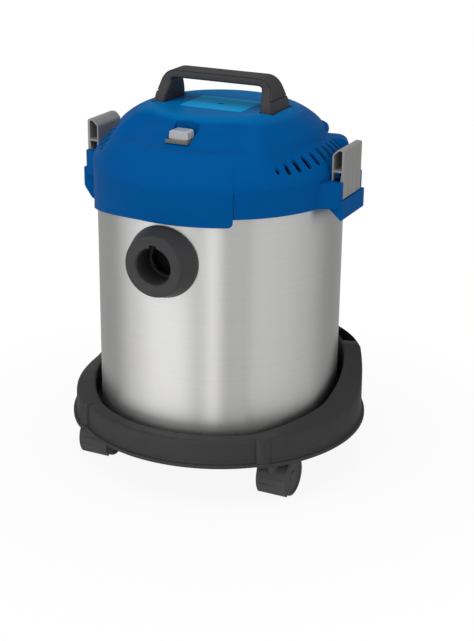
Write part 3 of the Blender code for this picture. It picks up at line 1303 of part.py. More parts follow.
# ================================================================ rear fittings
def make_rear_fittings():
    """Blower outlet and the empty cord gland."""
    outer = PORT_BORE + PORT_WALL
    start = BAND_RADIUS - PORT_INSIDE
    flange = BAND_RADIUS + SEAT_GAP
    end = BAND_RADIUS + PORT_REACH
    edge = PORT_WALL / 3
    section = (
        (PORT_BORE, start), (outer, start), (outer, flange), (outer + PORT_FLANGE, flange),
        (outer + PORT_FLANGE, flange + PORT_FLANGE_THICK), (outer, flange + PORT_FLANGE_THICK + edge),
        (outer, end - edge), (outer - edge, end), (PORT_BORE, end),
    )
    laid_turned("blower_port", section, "black plastic", Vector((0.0, 0.0, PORT_HEIGHT)), (0, 1, 0), 24)
    seat = COVER_WALL + SEAT_GAP * 2
    tip = seat + GLAND_REACH
    section = (
        (GLAND_BORE, -2 * COVER_WALL), (GLAND_RADIUS, -2 * COVER_WALL), (GLAND_RADIUS, seat),
        (GLAND_FLANGE, seat),
        (GLAND_FLANGE, seat + COVER_WALL), (GLAND_RADIUS, tip), (GLAND_BORE, tip),
    )
    laid_turned("cord_gland", section, "rubber", GLAND_PLACE, polar(1.0, GLAND_ANGLE, 0.0), 16)


# ================================================================ inside the head
WELL_FLOOR_LOW = BASE_LOW - WELL_DEPTH
WELL_FLOOR_TOP = WELL_FLOOR_LOW + WELL_WALL
FAN_LOW = WELL_FLOOR_TOP + SEAT_GAP
FAN_TOP = FAN_LOW + FAN_CASE_HEIGHT
CAN_LOW = FAN_TOP + SEAT_GAP
CAN_TOP = CAN_LOW + MOTOR_CAN_HEIGHT
SHAFT_HOLE = SHAFT_RADIUS + SEAT_GAP


def make_base_and_seal():
    """Base plate with the motor well, the seal under it and the screws up into the cover."""
    shelf_top = DRUM_TOP + SEAT_GAP + COLLAR_SHELF
    seal_outer = COLLAR_INNER - SEAT_GAP
    seal_low = shelf_top + SEAT_GAP
    section = ring_section(seal_outer - SEAL_WIDTH, seal_outer, seal_low, seal_low + SEAL_HEIGHT)
    turned("rim_seal", section, "rubber")
    well = WELL_RADIUS + WELL_WALL
    base = turned("head_base", (
        (seal_outer, BASE_LOW), (seal_outer, BASE_TOP), (WELL_RADIUS, BASE_TOP),
        (WELL_RADIUS, WELL_FLOOR_TOP), (INTAKE_RADIUS, WELL_FLOOR_TOP),
        (INTAKE_RADIUS, WELL_FLOOR_LOW), (well, WELL_FLOOR_LOW), (well, BASE_LOW),
    ), "black plastic")
    holes = bmesh.new()
    for number, angle in enumerate(POST_ANGLES, 1):
        place = polar(POST_CIRCLE, angle, BASE_LOW - SEAT_GAP - SCREW_HEAD_HEIGHT)
        low, high = BASE_LOW - BASE_THICK, BASE_TOP + BASE_THICK
        add_drum_shape(holes, SCREW_RADIUS + SEAT_GAP, low, high, 12, (place.x, place.y))
        shank = SCREW_HEAD_HEIGHT + SEAT_GAP + BASE_THICK + HEAD_SCREW_GRIP - SCREW_RADIUS
        laid_turned("head_screw_" + str(number), screw_section(shank), "zinc steel", place, (0, 0, 1), 12)
    cut(base, make_guide("base_screw_holes", holes))


def make_fan():
    """Fan case, its rubber mount and the impeller inside it."""
    wall = FAN_CASE_WALL
    case = turned("fan_case", (
        (INTAKE_RADIUS, FAN_LOW), (FAN_CASE_RADIUS, FAN_LOW), (FAN_CASE_RADIUS, FAN_TOP),
        (BEARING_RADIUS + SEAT_GAP, FAN_TOP), (BEARING_RADIUS + SEAT_GAP, FAN_TOP - wall),
        (FAN_CASE_RADIUS - wall, FAN_TOP - wall), (FAN_CASE_RADIUS - wall, FAN_LOW + wall),
        (INTAKE_RADIUS, FAN_LOW + wall),
    ), "light alloy", INNER_SIDES)
    ports = bmesh.new()
    for port in range(FAN_OUTLETS):
        place = polar((MOTOR_CAN_RADIUS + FAN_CASE_RADIUS) / 2, 360.0 * (port + 0.5) / FAN_OUTLETS, 0.0)
        low, high = FAN_TOP - 2 * wall, FAN_TOP + 2 * wall
        add_drum_shape(ports, FAN_OUTLET_RADIUS, low, high, 8, (place.x, place.y))
    cut(case, make_guide("fan_case_outlets", ports))
    mount_top = FAN_TOP - FAN_CASE_WALL
    inner, outer = FAN_CASE_RADIUS + SEAT_GAP, WELL_RADIUS - SEAT_GAP
    section = ring_section(inner, outer, mount_top - MOUNT_HEIGHT, mount_top)
    turned("motor_mount", section, "rubber", INNER_SIDES)

    blade_low = FAN_LOW + 3 * wall
    disc_top = FAN_TOP - 2 * wall
    disc_low = disc_top - IMPELLER_DISC
    section = ring_section(SHAFT_HOLE, IMPELLER_RADIUS, disc_low, disc_top)
    impeller = turned("impeller", section, "light alloy", INNER_SIDES)
    outline = []
    tip, waist = IMPELLER_RADIUS - wall, 0.6 * IMPELLER_RADIUS
    blade_shape = (
        (IMPELLER_HUB, -4.0), (waist, -18.0), (tip, -34.0),
        (tip, -32.0), (waist, -15.0), (IMPELLER_HUB, 4.0),
    )
    for blade in range(IMPELLER_BLADES):
        turn = 360.0 * blade / IMPELLER_BLADES
        for radius, shift in blade_shape:
            point = polar(radius, turn + shift, 0.0)
            outline.append((point.x, point.y))
    blades = bmesh.new()
    add_prism(blades, outline, blade_low, disc_low + IMPELLER_DISC / 2)
    fuse(impeller, make_guide("impeller_blades", blades))
    bore = bmesh.new()
    add_drum_shape(bore, SHAFT_HOLE, FAN_LOW, FAN_TOP, 16)
    cut(impeller, make_guide("impeller_bore", bore))


def make_motor():
    """Motor can, stator, brushes, bearings, and the turning shaft with armature and commutator."""
    inner = MOTOR_CAN_RADIUS - MOTOR_CAN_WALL
    seat = BEARING_RADIUS + SEAT_GAP
    can = turned("motor_can", (
        (inner, CAN_LOW), (MOTOR_CAN_RADIUS, CAN_LOW), (MOTOR_CAN_RADIUS, CAN_TOP), (seat, CAN_TOP),
        (seat, CAN_TOP - MOTOR_CAN_WALL), (inner, CAN_TOP - MOTOR_CAN_WALL),
    ), "light alloy", INNER_SIDES)
    windows = bmesh.new()
    stator_low = CAN_LOW + 2 * MOTOR_CAN_WALL
    stator_top = stator_low + STATOR_HEIGHT
    brush_height = stator_top + COMMUTATOR_HEIGHT
    for window in range(MOTOR_WINDOWS):
        turn = 360.0 * (window + 0.5) / MOTOR_WINDOWS
        near = inner - 2 * RUN_GAP
        corners = ((near, -12.0), (2 * inner, -12.0), (2 * inner, 12.0), (near, 12.0))
        outline = [polar(radius, turn + shift, 0.0).xy for radius, shift in corners]
        add_prism(windows, outline, stator_top + MOTOR_CAN_WALL, CAN_TOP - 2 * MOTOR_CAN_WALL)
    cut(can, make_guide("can_windows", windows))
    brush_room = bmesh.new()
    half = BRUSH_SIZE / 2 + SEAT_GAP
    add_box(brush_room, (-2 * MOTOR_CAN_RADIUS, -half, brush_height - half),
            (2 * MOTOR_CAN_RADIUS, half, brush_height + half))
    cut(can, make_guide("brush_windows", brush_room))

    section = ring_section(STATOR_INNER, inner - SEAT_GAP, stator_low, stator_top)
    turned("stator", section, "zinc steel", INNER_SIDES)
    for hand, side in (("left", -1), ("right", 1)):
        x_pair = sorted((side * (COMMUTATOR_RADIUS + SEAT_GAP), side * (MOTOR_CAN_RADIUS + MOTOR_CAN_WALL)))
        shape = bmesh.new()
        half = BRUSH_SIZE / 2
        add_box(shape, (x_pair[0], -half, brush_height - half), (x_pair[1], half, brush_height + half))
        make_object("brush_holder_" + hand, shape, "white plastic")

    shaft_low = FAN_LOW + 2 * FAN_CASE_WALL
    for place, low in (("lower", FAN_TOP - FAN_CASE_WALL), ("upper", CAN_TOP - MOTOR_CAN_WALL - SEAT_GAP)):
        section = ring_section(SHAFT_HOLE, BEARING_RADIUS, low, low + BEARING_HEIGHT)
        turned("bearing_" + place, section, "zinc steel", 20)
    shaft_top = CAN_TOP - MOTOR_CAN_WALL + BEARING_HEIGHT
    turned("motor_shaft", ring_section(0.0, SHAFT_RADIUS, shaft_low, shaft_top), "zinc steel", 16)
    teeth = []
    slot_floor = 0.72 * ARMATURE_RADIUS
    for slot in range(ARMATURE_SLOTS):
        turn = 360.0 * slot / ARMATURE_SLOTS
        for radius, shift in ((ARMATURE_RADIUS, -11.0), (ARMATURE_RADIUS, 11.0), (slot_floor, 13.0)):
            teeth.append(polar(radius, turn + shift, 0.0).xy)
    shape = bmesh.new()
    add_prism(shape, teeth, stator_low, stator_top)
    armature = make_object("armature", shape, "copper")
    bore = bmesh.new()
    add_drum_shape(bore, SHAFT_HOLE, stator_low - SHAFT_RADIUS, stator_top + SHAFT_RADIUS, 16)
    cut(armature, make_guide("armature_bore", bore))
    low = brush_height - COMMUTATOR_HEIGHT / 2
    section = ring_section(SHAFT_HOLE, COMMUTATOR_RADIUS, low, low + COMMUTATOR_HEIGHT)
    turned("commutator", section, "copper", 20)


def make_filter():
    """Float cage, float, and the pleated cartridge with its top ring and end cap."""
    top = WELL_FLOOR_LOW - SEAT_GAP
    cage_low = top - CAGE_HEIGHT
    inner = CAGE_RADIUS - CAGE_WALL
    cage = turned("float_cage", (
        (0.0, cage_low), (CAGE_RADIUS, cage_low), (CAGE_RADIUS, top), (inner, top),
        (inner, cage_low + CAGE_WALL), (0.0, cage_low + CAGE_WALL),
    ), "black plastic", 24)
    windows = bmesh.new()
    for window in range(CAGE_WINDOWS):
        turn = 360.0 * (window + 0.5) / CAGE_WINDOWS
        outline = [polar(radius, turn + shift, 0.0).xy for radius, shift in (
            (0.6 * inner, -24.0), (1.4 * CAGE_RADIUS, -24.0),
            (1.4 * CAGE_RADIUS, 24.0), (0.6 * inner, 24.0))]
        add_prism(windows, outline, cage_low + 2 * CAGE_WALL, top - 3 * CAGE_WALL)
    cut(cage, make_guide("cage_windows", windows))
    float_low = cage_low + CAGE_WALL + SEAT_GAP
    edge = FLOAT_RADIUS / 5
    turned("shut_off_float", (
        (0.0, float_low), (FLOAT_RADIUS - edge, float_low), (FLOAT_RADIUS, float_low + edge),
        (FLOAT_RADIUS, float_low + FLOAT_HEIGHT - edge), (FLOAT_RADIUS - edge, float_low + FLOAT_HEIGHT),
        (0.0, float_low + FLOAT_HEIGHT),
    ), "white plastic", 24, (0.0, 0.0, float_low))

    ring_low = top - FILTER_CAP
    turned("filter_top_ring", ring_section(FILTER_INNER, FILTER_OUTER, ring_low, top), "rubber", 28)
    pleat_top = ring_low - SEAT_GAP
    pleat_low = pleat_top - FILTER_HEIGHT
    outer_wave, inner_wave = [], []
    for pleat in range(FILTER_PLEATS):
        turn = 360.0 * pleat / FILTER_PLEATS
        valley = turn + 180.0 / FILTER_PLEATS
        outer_wave += [polar(FILTER_OUTER, turn, 0.0), polar(FILTER_INNER + PAPER_THICK, valley, 0.0)]
        inner_wave += [polar(FILTER_OUTER - PAPER_THICK, turn, 0.0), polar(FILTER_INNER, valley, 0.0)]
    mesh_edit = bmesh.new()
    rings = []
    corners = (
        (outer_wave, pleat_low), (outer_wave, pleat_top), (inner_wave, pleat_top), (inner_wave, pleat_low),
    )
    for wave, height in corners:
        rings.append([mesh_edit.verts.new((point.x, point.y, height)) for point in wave])
    skin_rings(mesh_edit, rings, close=True)
    make_object("filter_cartridge", mesh_edit, "filter paper")
    cap_top = pleat_low - SEAT_GAP
    turned("filter_end_cap", ring_section(0.0, FILTER_OUTER, cap_top - FILTER_CAP, cap_top), "rubber", 28)


def build():
    """Make the whole machine."""
    clear_scene()
    make_dolly()
    for name, angle in castor_angles().items():
        make_castor(name, angle)
    make_inlet(make_drum())
    make_collar()
    make_latch("left", -1)
    make_latch("right", 1)
    make_head_cover()
    make_handle()
    make_switch()
    make_rear_fittings()
    make_base_and_seal()
    make_fan()
    make_motor()
    make_filter()


build()
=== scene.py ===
"""Looks of the wet and dry canister vacuum: fine shells, finishes, studio light and camera.

Metres, +Z up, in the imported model's own frame.  Angles round the drum are counted in
degrees from the front (-Y) towards +X, and section outlines are (radius, height) pairs.
"""
import json
import math

import bmesh
import bpy
from mathutils import Matrix, Vector


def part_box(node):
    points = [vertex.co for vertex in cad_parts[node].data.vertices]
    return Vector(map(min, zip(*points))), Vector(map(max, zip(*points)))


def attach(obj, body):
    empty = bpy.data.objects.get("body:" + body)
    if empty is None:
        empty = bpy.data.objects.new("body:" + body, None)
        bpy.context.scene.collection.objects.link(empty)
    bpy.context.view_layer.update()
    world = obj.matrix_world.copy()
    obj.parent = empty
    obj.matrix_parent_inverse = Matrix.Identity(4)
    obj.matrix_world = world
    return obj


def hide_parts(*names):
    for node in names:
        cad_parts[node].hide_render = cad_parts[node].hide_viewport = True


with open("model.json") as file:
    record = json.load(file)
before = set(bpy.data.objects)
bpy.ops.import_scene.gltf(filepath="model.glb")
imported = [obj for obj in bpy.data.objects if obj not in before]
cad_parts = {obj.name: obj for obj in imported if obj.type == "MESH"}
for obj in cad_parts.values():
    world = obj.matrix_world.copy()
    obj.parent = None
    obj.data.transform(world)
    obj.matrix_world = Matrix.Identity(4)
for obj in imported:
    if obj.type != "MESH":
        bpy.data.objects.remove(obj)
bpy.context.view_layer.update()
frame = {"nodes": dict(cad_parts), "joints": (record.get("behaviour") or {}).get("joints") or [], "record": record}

# ------------ sizes read from the frame
drum_low, drum_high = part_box("steel_drum")
latch_low, latch_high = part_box("latch_right")
pin_low, pin_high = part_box("latch_pin_right")
inlet_low, inlet_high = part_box("inlet_port")
bezel_low, bezel_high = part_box("switch_bezel")
rocker_low, rocker_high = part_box("switch_rocker")
port_low, port_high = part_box("blower_port")
SEAT_GAP = 0.0003
DRUM_RADIUS = drum_high.x
DRUM_BASE = drum_low.z
DRUM_TOP = drum_high.z
DRUM_WALL = 0.0012
COLLAR_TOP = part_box("drum_collar")[1].z
COLLAR_BOTTOM = DRUM_TOP - 0.009
COLLAR_INNER = DRUM_RADIUS + SEAT_GAP
COLLAR_WALL = 0.0038
COLLAR_THIN_WALL = 0.0013
BAND_RADIUS = COLLAR_INNER + COLLAR_WALL
INLET_HEIGHT = (inlet_low.z + inlet_high.z) / 2
INLET_RADIUS = (inlet_high.x - inlet_low.x) / 2
INLET_FACE = -inlet_low.y
INLET_BORE = 0.0186
INLET_THROAT = 0.0163         # narrower bore behind the hose's seat
INLET_STEP = 0.123            # where the bore narrows, from the drum's axis
INLET_KEY_HALF = 0.004
INLET_KEY_TOP = 0.0222
INLET_SPIGOT = 0.022
LIP_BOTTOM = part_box("dolly_base")[0].z
HANDLE_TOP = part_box("handle_grip")[1].z
PORT_HEIGHT = (port_low.z + port_high.z) / 2
AHEAD, BACK = (0, -1, 0), (0, 1, 0)
INLET_PLACE = (0.0, 0.0, INLET_HEIGHT)
PORT_PLACE = (0.0, 0.0, PORT_HEIGHT)
PORT_OUTER = 0.0187
PORT_BORE = 0.0155

# ------------ fineness of the round pieces
TURN_SIDES = 180
COVER_STEP = 2.0
DOLLY_STEP = 2.0

# ------------ head cover
COVER_WALL = 0.0024
DOME_HEIGHT = 0.0605
DOME_FLAT_RADIUS = 0.054
DOME_CROWN_RADIUS = 0.072
DOME_SHOULDER_RADIUS = 0.107
DOME_SHOULDER_HEIGHT = 0.66 * DOME_HEIGHT
DOME_FOOT_HEIGHT = 0.5 * DOME_HEIGHT
SCOOP_RIM_HEIGHT = 0.0135
APRON_PROUD = 0.0011
APRON_DROP = 0.034
APRON_RIGHT = 31.0
APRON_LEFT = -71.8
APRON_SWEEP_START = -10.0
APRON_SWEEP_DROP = 0.0225
APRON_TAPER = 0.0017
APRON_CORNER = 2.2           # degrees over which the apron's lower corner is rounded
APRON_CORNER_RISE = 0.005
BROW_POWER = 1.5
BROW_FOOT_ANGLE = 44.0
BROW_CROWN_ANGLE = 64.0
REAR_BULGE_ANGLE = 110.0
REAR_BULGE_RISE = (          # degrees, and top over the collar: side bulge, dip, port housing
    (110.0, 0.0275), (119.0, 0.0282), (134.0, 0.0175), (142.0, 0.0175), (152.0, 0.028), (164.0, 0.037))
VENT_FIRST = 52.0
VENT_PITCH = 6.0
VENT_COUNT = 10
VENT_WIDTH = 0.0049
VENT_LENGTH = 0.0135
VENT_MARGIN = 0.0045         # from the shoulder's inner face to the slots
VENT_SHARES = (0.4, 0.8)      # how much of the first slots is open, from the outside
VENT_RISE = 0.008            # how much higher the vents' slope stands towards the back
VENT_RISE_START = 56.0
VENT_RISE_SPAN = 30.0
DISH_DEPTH = 0.0092          # hollow round the switch, under the front slope
DISH_BACK = 0.009            # how wide its wall is towards the crown
DISH_FRONT = 0.017           # and at the front
DISH_REACH = 0.0455          # its front edge from the crown's edge
DISH_HALF_ANGLE = 48.0
DISH_END = 11.0              # degrees of the wall at each end
PANEL_HALF = (0.0352, 0.0277)
PANEL_FLOOR = COLLAR_TOP + DOME_HEIGHT - 0.0016

# ------------ handle, latches, brackets
HANDLE_FOOT = 0.064
HANDLE_SHOULDER = 0.0575
HANDLE_FOOT_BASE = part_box("carry_handle")[0].z
HANDLE_THICK = 0.0085
HANDLE_LEG_EXTRA = 0.0035     # how much thicker the legs are, on their inner side
HANDLE_CORNER = 0.013
HANDLE_FOOT_HALF = 0.0245
HANDLE_BAR_HALF = 0.0145
GRIP_LINE = HANDLE_TOP - 0.023
GRIP_THICK = 0.0012
GRIP_MARGIN = 0.0015
POCKET_MARGIN = 0.0016
LATCH_HALF = latch_high.y
LATCH_INNER = latch_low.x
LATCH_FACE = latch_high.x
LATCH_TOP = latch_high.z
LATCH_BOTTOM = latch_low.z
LATCH_WALL = 0.0015
LATCH_FACE_THICK = 0.0026
LATCH_CHAMFER = 0.006
LATCH_BARREL = 0.0035
LATCH_BAR_THICK = 0.0018
LATCH_BAR_HEIGHT = COLLAR_TOP + 0.009
LATCH_PIVOT = (pin_low.x + pin_high.x) / 2
PIN_HOLE = 0.0019
LATCH_PIVOT_HEIGHT = (pin_low.z + pin_high.z) / 2
GROOVE = ((-0.0011, 0.001), (-0.0006, -0.0003), (0.0006, -0.0003), (0.0011, 0.001))
GROOVE_PITCH = 0.0115
LUG_HALF = 0.019
LUG_REACH = 0.0065
LUG_THICK = 0.0065
BRACKET_HALF = 0.0405
BRACKET_EAR_HALF = 0.031
BRACKET_REACH = 0.0130
TONGUE_HALF = 0.031
TONGUE_REACH = 0.0152
TONGUE_DROP = 0.0133
LEFT_TONGUE_ROOT_DROP = 0.027
GRIP_DEPTH = 0.012

# ------------ dolly
INNER_WALL = DRUM_RADIUS + 0.0065
BUMPER_DEPTH = 0.0175
BUMPER_TOP = LIP_BOTTOM + 0.029
FLOOR_TOP = LIP_BOTTOM + 0.010
DOLLY_WALL = 0.003
ROOF_THICK = 0.0055
LIP_THICK = 0.004
LIP_STEP = 0.0035
FLOOR_HOLE = 0.060
FENDER_PROUD = 0.0045
FENDER_FRONT = 40.0
FENDER_REAR = 150.0
FENDER_NOSE = 5.0
NOSE_MIDDLE = 42.6           # rounded boss at the fender's front end
NOSE_HALF = 2.6
NOSE_PROUD = 0.0014
NOSE_GROOVE = 45.8           # groove behind it
NOSE_GROOVE_HALF = 0.6
NOSE_GROOVE_DEPTH = 0.0009
TOWER_FRONT = 121.0
TOWER_REAR = 146.0
FENDER_INNER_RISE = (
    (41.0, 0.0), (61.0, 0.0075), (79.0, 0.0125), (89.0, 0.021), (105.0, 0.034), (121.0, 0.043),
)
FENDER_OUTER_RISE = ((41.0, 0.001), (89.0, 0.001), (105.0, 0.012), (121.0, 0.040))
SOCKET_DEPTH = 0.046
SOCKET_SPAN = 17.0
SOCKET_WALL = 0.0028
NECK_RADIUS = 0.0065
AXLE_BORE = 0.0033
STEM_RADIUS = 0.004
WEB_FOOT = 0.0187            # inner radius of the web between a castor's wheels
CASTOR_NAMES = ("front_left", "front_right", "rear_left", "rear_right")

# ------------ switch
SWITCH_CENTRE = -(bezel_low.y + bezel_high.y) / 2
SWITCH_HALF = bezel_high.x
SWITCH_FLOOR = bezel_low.z - SEAT_GAP
WINDOW_HALF_X = rocker_high.x + 0.0006
WINDOW_HALF_Y = (rocker_high.y - rocker_low.y) / 2 + 0.0006
POCKET_GAP = 0.0012


# ============ outlines
def polar(radius, angle, height):
    """Point at an angle round the drum, from the front towards +X."""
    turn = math.radians(angle)
    return Vector((radius * math.sin(turn), -radius * math.cos(turn), height))


def mix(low, high, share):
    """Value between two others."""
    return low + (high - low) * share


def smooth(share):
    """Ease in and out between 0 and 1."""
    share = min(max(share, 0.0), 1.0)
    return share * share * (3.0 - 2.0 * share)


def follow(table, angle):
    """Value at an angle in a table of (angle, value) rows, straight between them."""
    if angle <= table[0][0]:
        return table[0][1]
    for (low, low_value), (high, high_value) in zip(table, table[1:]):
        if angle <= high:
            return mix(low_value, high_value, (angle - low) / (high - low))
    return table[-1][1]


def rounded(corners, steps=4, closed=True):
    """Outline of (first, second, reach) corners, each rounded as far as its reach."""
    points = []
    count = len(corners)
    for place, (first, second, reach) in enumerate(corners):
        here = Vector((first, second))
        ends = place in (0, count - 1)
        if reach <= 0 or (ends and not closed):
            points.append(here)
            continue
        before = Vector(corners[place - 1][:2]) - here
        after = Vector(corners[(place + 1) % count][:2]) - here
        start = here + before.normalized() * min(reach, 0.49 * before.length)
        end = here + after.normalized() * min(reach, 0.49 * after.length)
        for step in range(steps + 1):
            share = step / steps
            points.append(start * (1 - share) ** 2 + here * 2 * share * (1 - share) + end * share ** 2)
    return points


def arc(centre, radius, start, end, steps):
    """Points of an arc, with angles in degrees from the first axis."""
    points = []
    for step in range(steps + 1):
        turn = math.radians(mix(start, end, step / steps))
        points.append((centre[0] + radius * math.cos(turn), centre[1] + radius * math.sin(turn)))
    return points


def box_outline(half_x, half_y, reach, centre=(0.0, 0.0)):
    """Rounded rectangle about a centre."""
    corners = ((-half_x, -half_y), (half_x, -half_y), (half_x, half_y), (-half_x, half_y))
    return rounded([(centre[0] + x, centre[1] + y, reach) for x, y in corners])


# ============ mesh helpers
def skin_rings(mesh_edit, rings, close):
    """Join each ring of points to the next, and the last to the first when closed."""
    pairs = list(zip(rings, rings[1:]))
    if close:
        pairs.append((rings[-1], rings[0]))
    for lower, upper in pairs:
        for side in range(len(lower)):
            after = (side + 1) % len(lower)
            corners = [lower[side], lower[after], upper[after], upper[side]]
            face = [corner for place, corner in enumerate(corners) if corner not in corners[:place]]
            if len(face) > 2:
                mesh_edit.faces.new(face)


def add_turned(mesh_edit, section, sides=TURN_SIDES, centre=(0.0, 0.0)):
    """Turn a closed section round an upright axis."""
    rings = []
    for radius, height in section:
        if radius < 1e-7:
            rings.append([mesh_edit.verts.new((*centre, height))] * sides)
            continue
        ring = []
        for side in range(sides):
            point = polar(radius, 360.0 * side / sides, height)
            ring.append(mesh_edit.verts.new((point.x + centre[0], point.y + centre[1], height)))
        rings.append(ring)
    skin_rings(mesh_edit, rings, close=True)


def add_prism(mesh_edit, outline, low, high, axes="xyz"):
    """Extrude an outline.  It uses the first two axes and rises along the third."""
    rings = []
    for level in (low, high):
        ring = []
        for first, second in outline:
            place = dict(zip(axes, (first, second, level)))
            ring.append(mesh_edit.verts.new((place["x"], place["y"], place["z"])))
        rings.append(ring)
    skin_rings(mesh_edit, rings, close=False)
    mesh_edit.faces.new(rings[0])
    mesh_edit.faces.new(rings[1])


def prisms(name, parts, axes="xyz"):
    """Object of several (outline, low, high) prisms."""
    mesh_edit = bmesh.new()
    for outline, low, high in parts:
        add_prism(mesh_edit, outline, low, high, axes)
    return make_object(name, mesh_edit)


def prism(name, outline, low, high, axes="xyz"):
    """Object extruded from one outline."""
    return prisms(name, [(outline, low, high)], axes)


def mirrored(outline, side):
    """Outline with its first axis turned to one side."""
    return [(side * first, second) for first, second in outline]


def pair(side, near, far):
    """Two distances on one side, the lower value first."""
    return sorted((side * near, side * far))


def rod(name, radius, low, high, sides, place, direction):
    """Round bar that lies along a direction, between two distances from a place."""
    return turned(name, ring_section(0.0, radius, low, high), sides, laid(place, direction))


def add_box(mesh_edit, low, high):
    """Box between two corners."""
    outline = ((low[0], low[1]), (high[0], low[1]), (high[0], high[1]), (low[0], high[1]))
    add_prism(mesh_edit, outline, low[2], high[2])


def ring_of_sections(name, sections):
    """Closed ring with an outline of points at each angle."""
    mesh_edit = bmesh.new()
    rings = [[mesh_edit.verts.new(point) for point in section] for section in sections]
    skin_rings(mesh_edit, rings, close=True)
    return make_object(name, mesh_edit)


def make_object(name, mesh_edit):
    """Turn a bmesh into an object in the model's frame."""
    bmesh.ops.recalc_face_normals(mesh_edit, faces=mesh_edit.faces)
    mesh = bpy.data.meshes.new(name)
    mesh_edit.to_mesh(mesh)
    mesh_edit.free()
    item = bpy.data.objects.new(name, mesh)
    bpy.context.scene.collection.objects.link(item)
    return item


def turned(name, section, sides=TURN_SIDES, matrix=None):
    """Turned solid, laid by a matrix where it isn't upright on the drum's axis."""
    mesh_edit = bmesh.new()
    add_turned(mesh_edit, section, sides)
    if matrix:
        bmesh.ops.transform(mesh_edit, matrix=matrix, verts=mesh_edit.verts)
    return make_object(name, mesh_edit)


def laid(place, direction):
    """Matrix that lays an upright axis along a direction from a place."""
    return Matrix.Translation(place) @ Vector(direction).to_track_quat("Z", "Y").to_matrix().to_4x4()


def ring_section(inner, outer, low, high):
    """Rectangular section of a ring or tube."""
    return ((inner, low), (outer, low), (outer, high), (inner, high))


def settle(item):
    """Make what the modifiers give the object's own mesh."""
    graph = bpy.context.evaluated_depsgraph_get()
    mesh = bpy.data.meshes.new_from_object(item.evaluated_get(graph))
    item.modifiers.clear()
    item.data = mesh


def combine(item, guide, operation):
    """Cut an item with a guide, or join it to one, and drop the guide."""
    modifier = item.modifiers.new("shape", "BOOLEAN")
    modifier.operation = operation
    modifier.solver = "EXACT"
    modifier.object = guide
    settle(item)
    bpy.data.objects.remove(guide, do_unlink=True)


def cut(item, guide):
    """Take the guide's space out of the item."""
    combine(item, guide, "DIFFERENCE")


def fuse(item, guide):
    """Add the guide's space to the item."""
    combine(item, guide, "UNION")


def soften(item, width, segments=2, limit=32.0):
    """Round the sharp edges and keep flat faces flat in the shading."""
    tidy(item)
    if width:
        bevel = item.modifiers.new("edges", "BEVEL")
        bevel.width = width
        bevel.segments = segments
        bevel.limit_method = "ANGLE"
        bevel.angle_limit = math.radians(limit)
        bevel.use_clamp_overlap = True
        bevel.miter_outer = "MITER_ARC"
    settle(item)
    tidy(item)
    item.data.shade_smooth()
    item.data.set_sharp_from_angle(angle=math.radians(limit + 6.0))
    weights = item.modifiers.new("normals", "WEIGHTED_NORMAL")
    weights.keep_sharp = True
    weights.weight = 60
    settle(item)


def tidy(item):
    """Drop doubled points and slivers that the cuts left."""
    mesh_edit = bmesh.new()
    mesh_edit.from_mesh(item.data)
    bmesh.ops.remove_doubles(mesh_edit, verts=mesh_edit.verts, dist=0.00002)
    bmesh.ops.dissolve_degenerate(mesh_edit, edges=mesh_edit.edges, dist=0.00001)
    bmesh.ops.recalc_face_normals(mesh_edit, faces=mesh_edit.faces)
    mesh_edit.to_mesh(item.data)
    mesh_edit.free()


def place_piece(item, body, slot, material, *nodes):
    """Give a piece its finish and its body, and hide the nodes that it stands for."""
    item.data.materials.clear()
    item.data.materials.append(material)
    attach(item, body)
    if nodes:
        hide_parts(*nodes)


# ============ finishes
def set_inputs(tree, node, values):
    """Set or link a node's inputs."""
    for name, value in values.items():
        if isinstance(value, bpy.types.NodeSocket):
            tree.links.new(value, node.inputs[name])
        else:
            node.inputs[name].default_value = value


def add_node(tree, kind, inputs, **settings):
    """Add a shader node with its inputs and settings."""
    made = tree.nodes.new("ShaderNode" + kind)
    for name, value in settings.items():
        setattr(made, name, value)
    set_inputs(tree, made, inputs)
    return made


def new_material(name, colour, roughness, metallic=0.0):
    """Material, its nodes, its shader, and object coordinates in metres."""
    material = bpy.data.materials.new(name)
    material.use_nodes = True
    tree = material.node_tree
    shader = tree.nodes["Principled BSDF"]
    values = {"Base Color": (*colour, 1.0), "Roughness": roughness, "Metallic": metallic}
    set_inputs(tree, shader, values)
    return material, tree, shader, add_node(tree, "TexCoord", {}).outputs["Object"]


def noise(tree, vector, scale, detail=3.0, stretch=None):
    """Noise over object coordinates, stretched along an axis where asked."""
    if stretch:
        vector = add_node(tree, "Mapping", {"Scale": stretch, "Vector": vector}).outputs["Vector"]
    return add_node(tree, "TexNoise", {"Scale": scale, "Detail": detail, "Vector": vector}).outputs["Fac"]


def spread(tree, source, low, high, low_in=0.3, high_in=0.7):
    """Map a texture's middle range to a low and a high value."""
    limits = {"From Min": low_in, "From Max": high_in, "To Min": low, "To Max": high}
    return add_node(tree, "MapRange", {"Value": source, **limits}).outputs["Result"]


def shaded(colour, share):
    """Colour with its channels multiplied."""
    return [channel * share for channel in colour]


def tint(tree, shader, source, dark, light):
    """Vary the base colour between two tones."""
    ramp = add_node(tree, "ValToRGB", {"Fac": source})
    for mark, position, tone in zip(ramp.color_ramp.elements, (0.3, 0.7), (dark, light)):
        mark.position = position
        mark.color = (*tone, 1.0)
    set_inputs(tree, shader, {"Base Color": ramp.outputs["Color"]})


def gloss(tree, shader, source, low, high):
    """Vary the roughness between two values."""
    set_inputs(tree, shader, {"Roughness": spread(tree, source, low, high)})


def bump(tree, shader, source, distance):
    """Raise the surface by a texture."""
    raised = add_node(tree, "Bump", {"Distance": distance, "Height": source})
    set_inputs(tree, shader, {"Normal": raised.outputs["Normal"]})


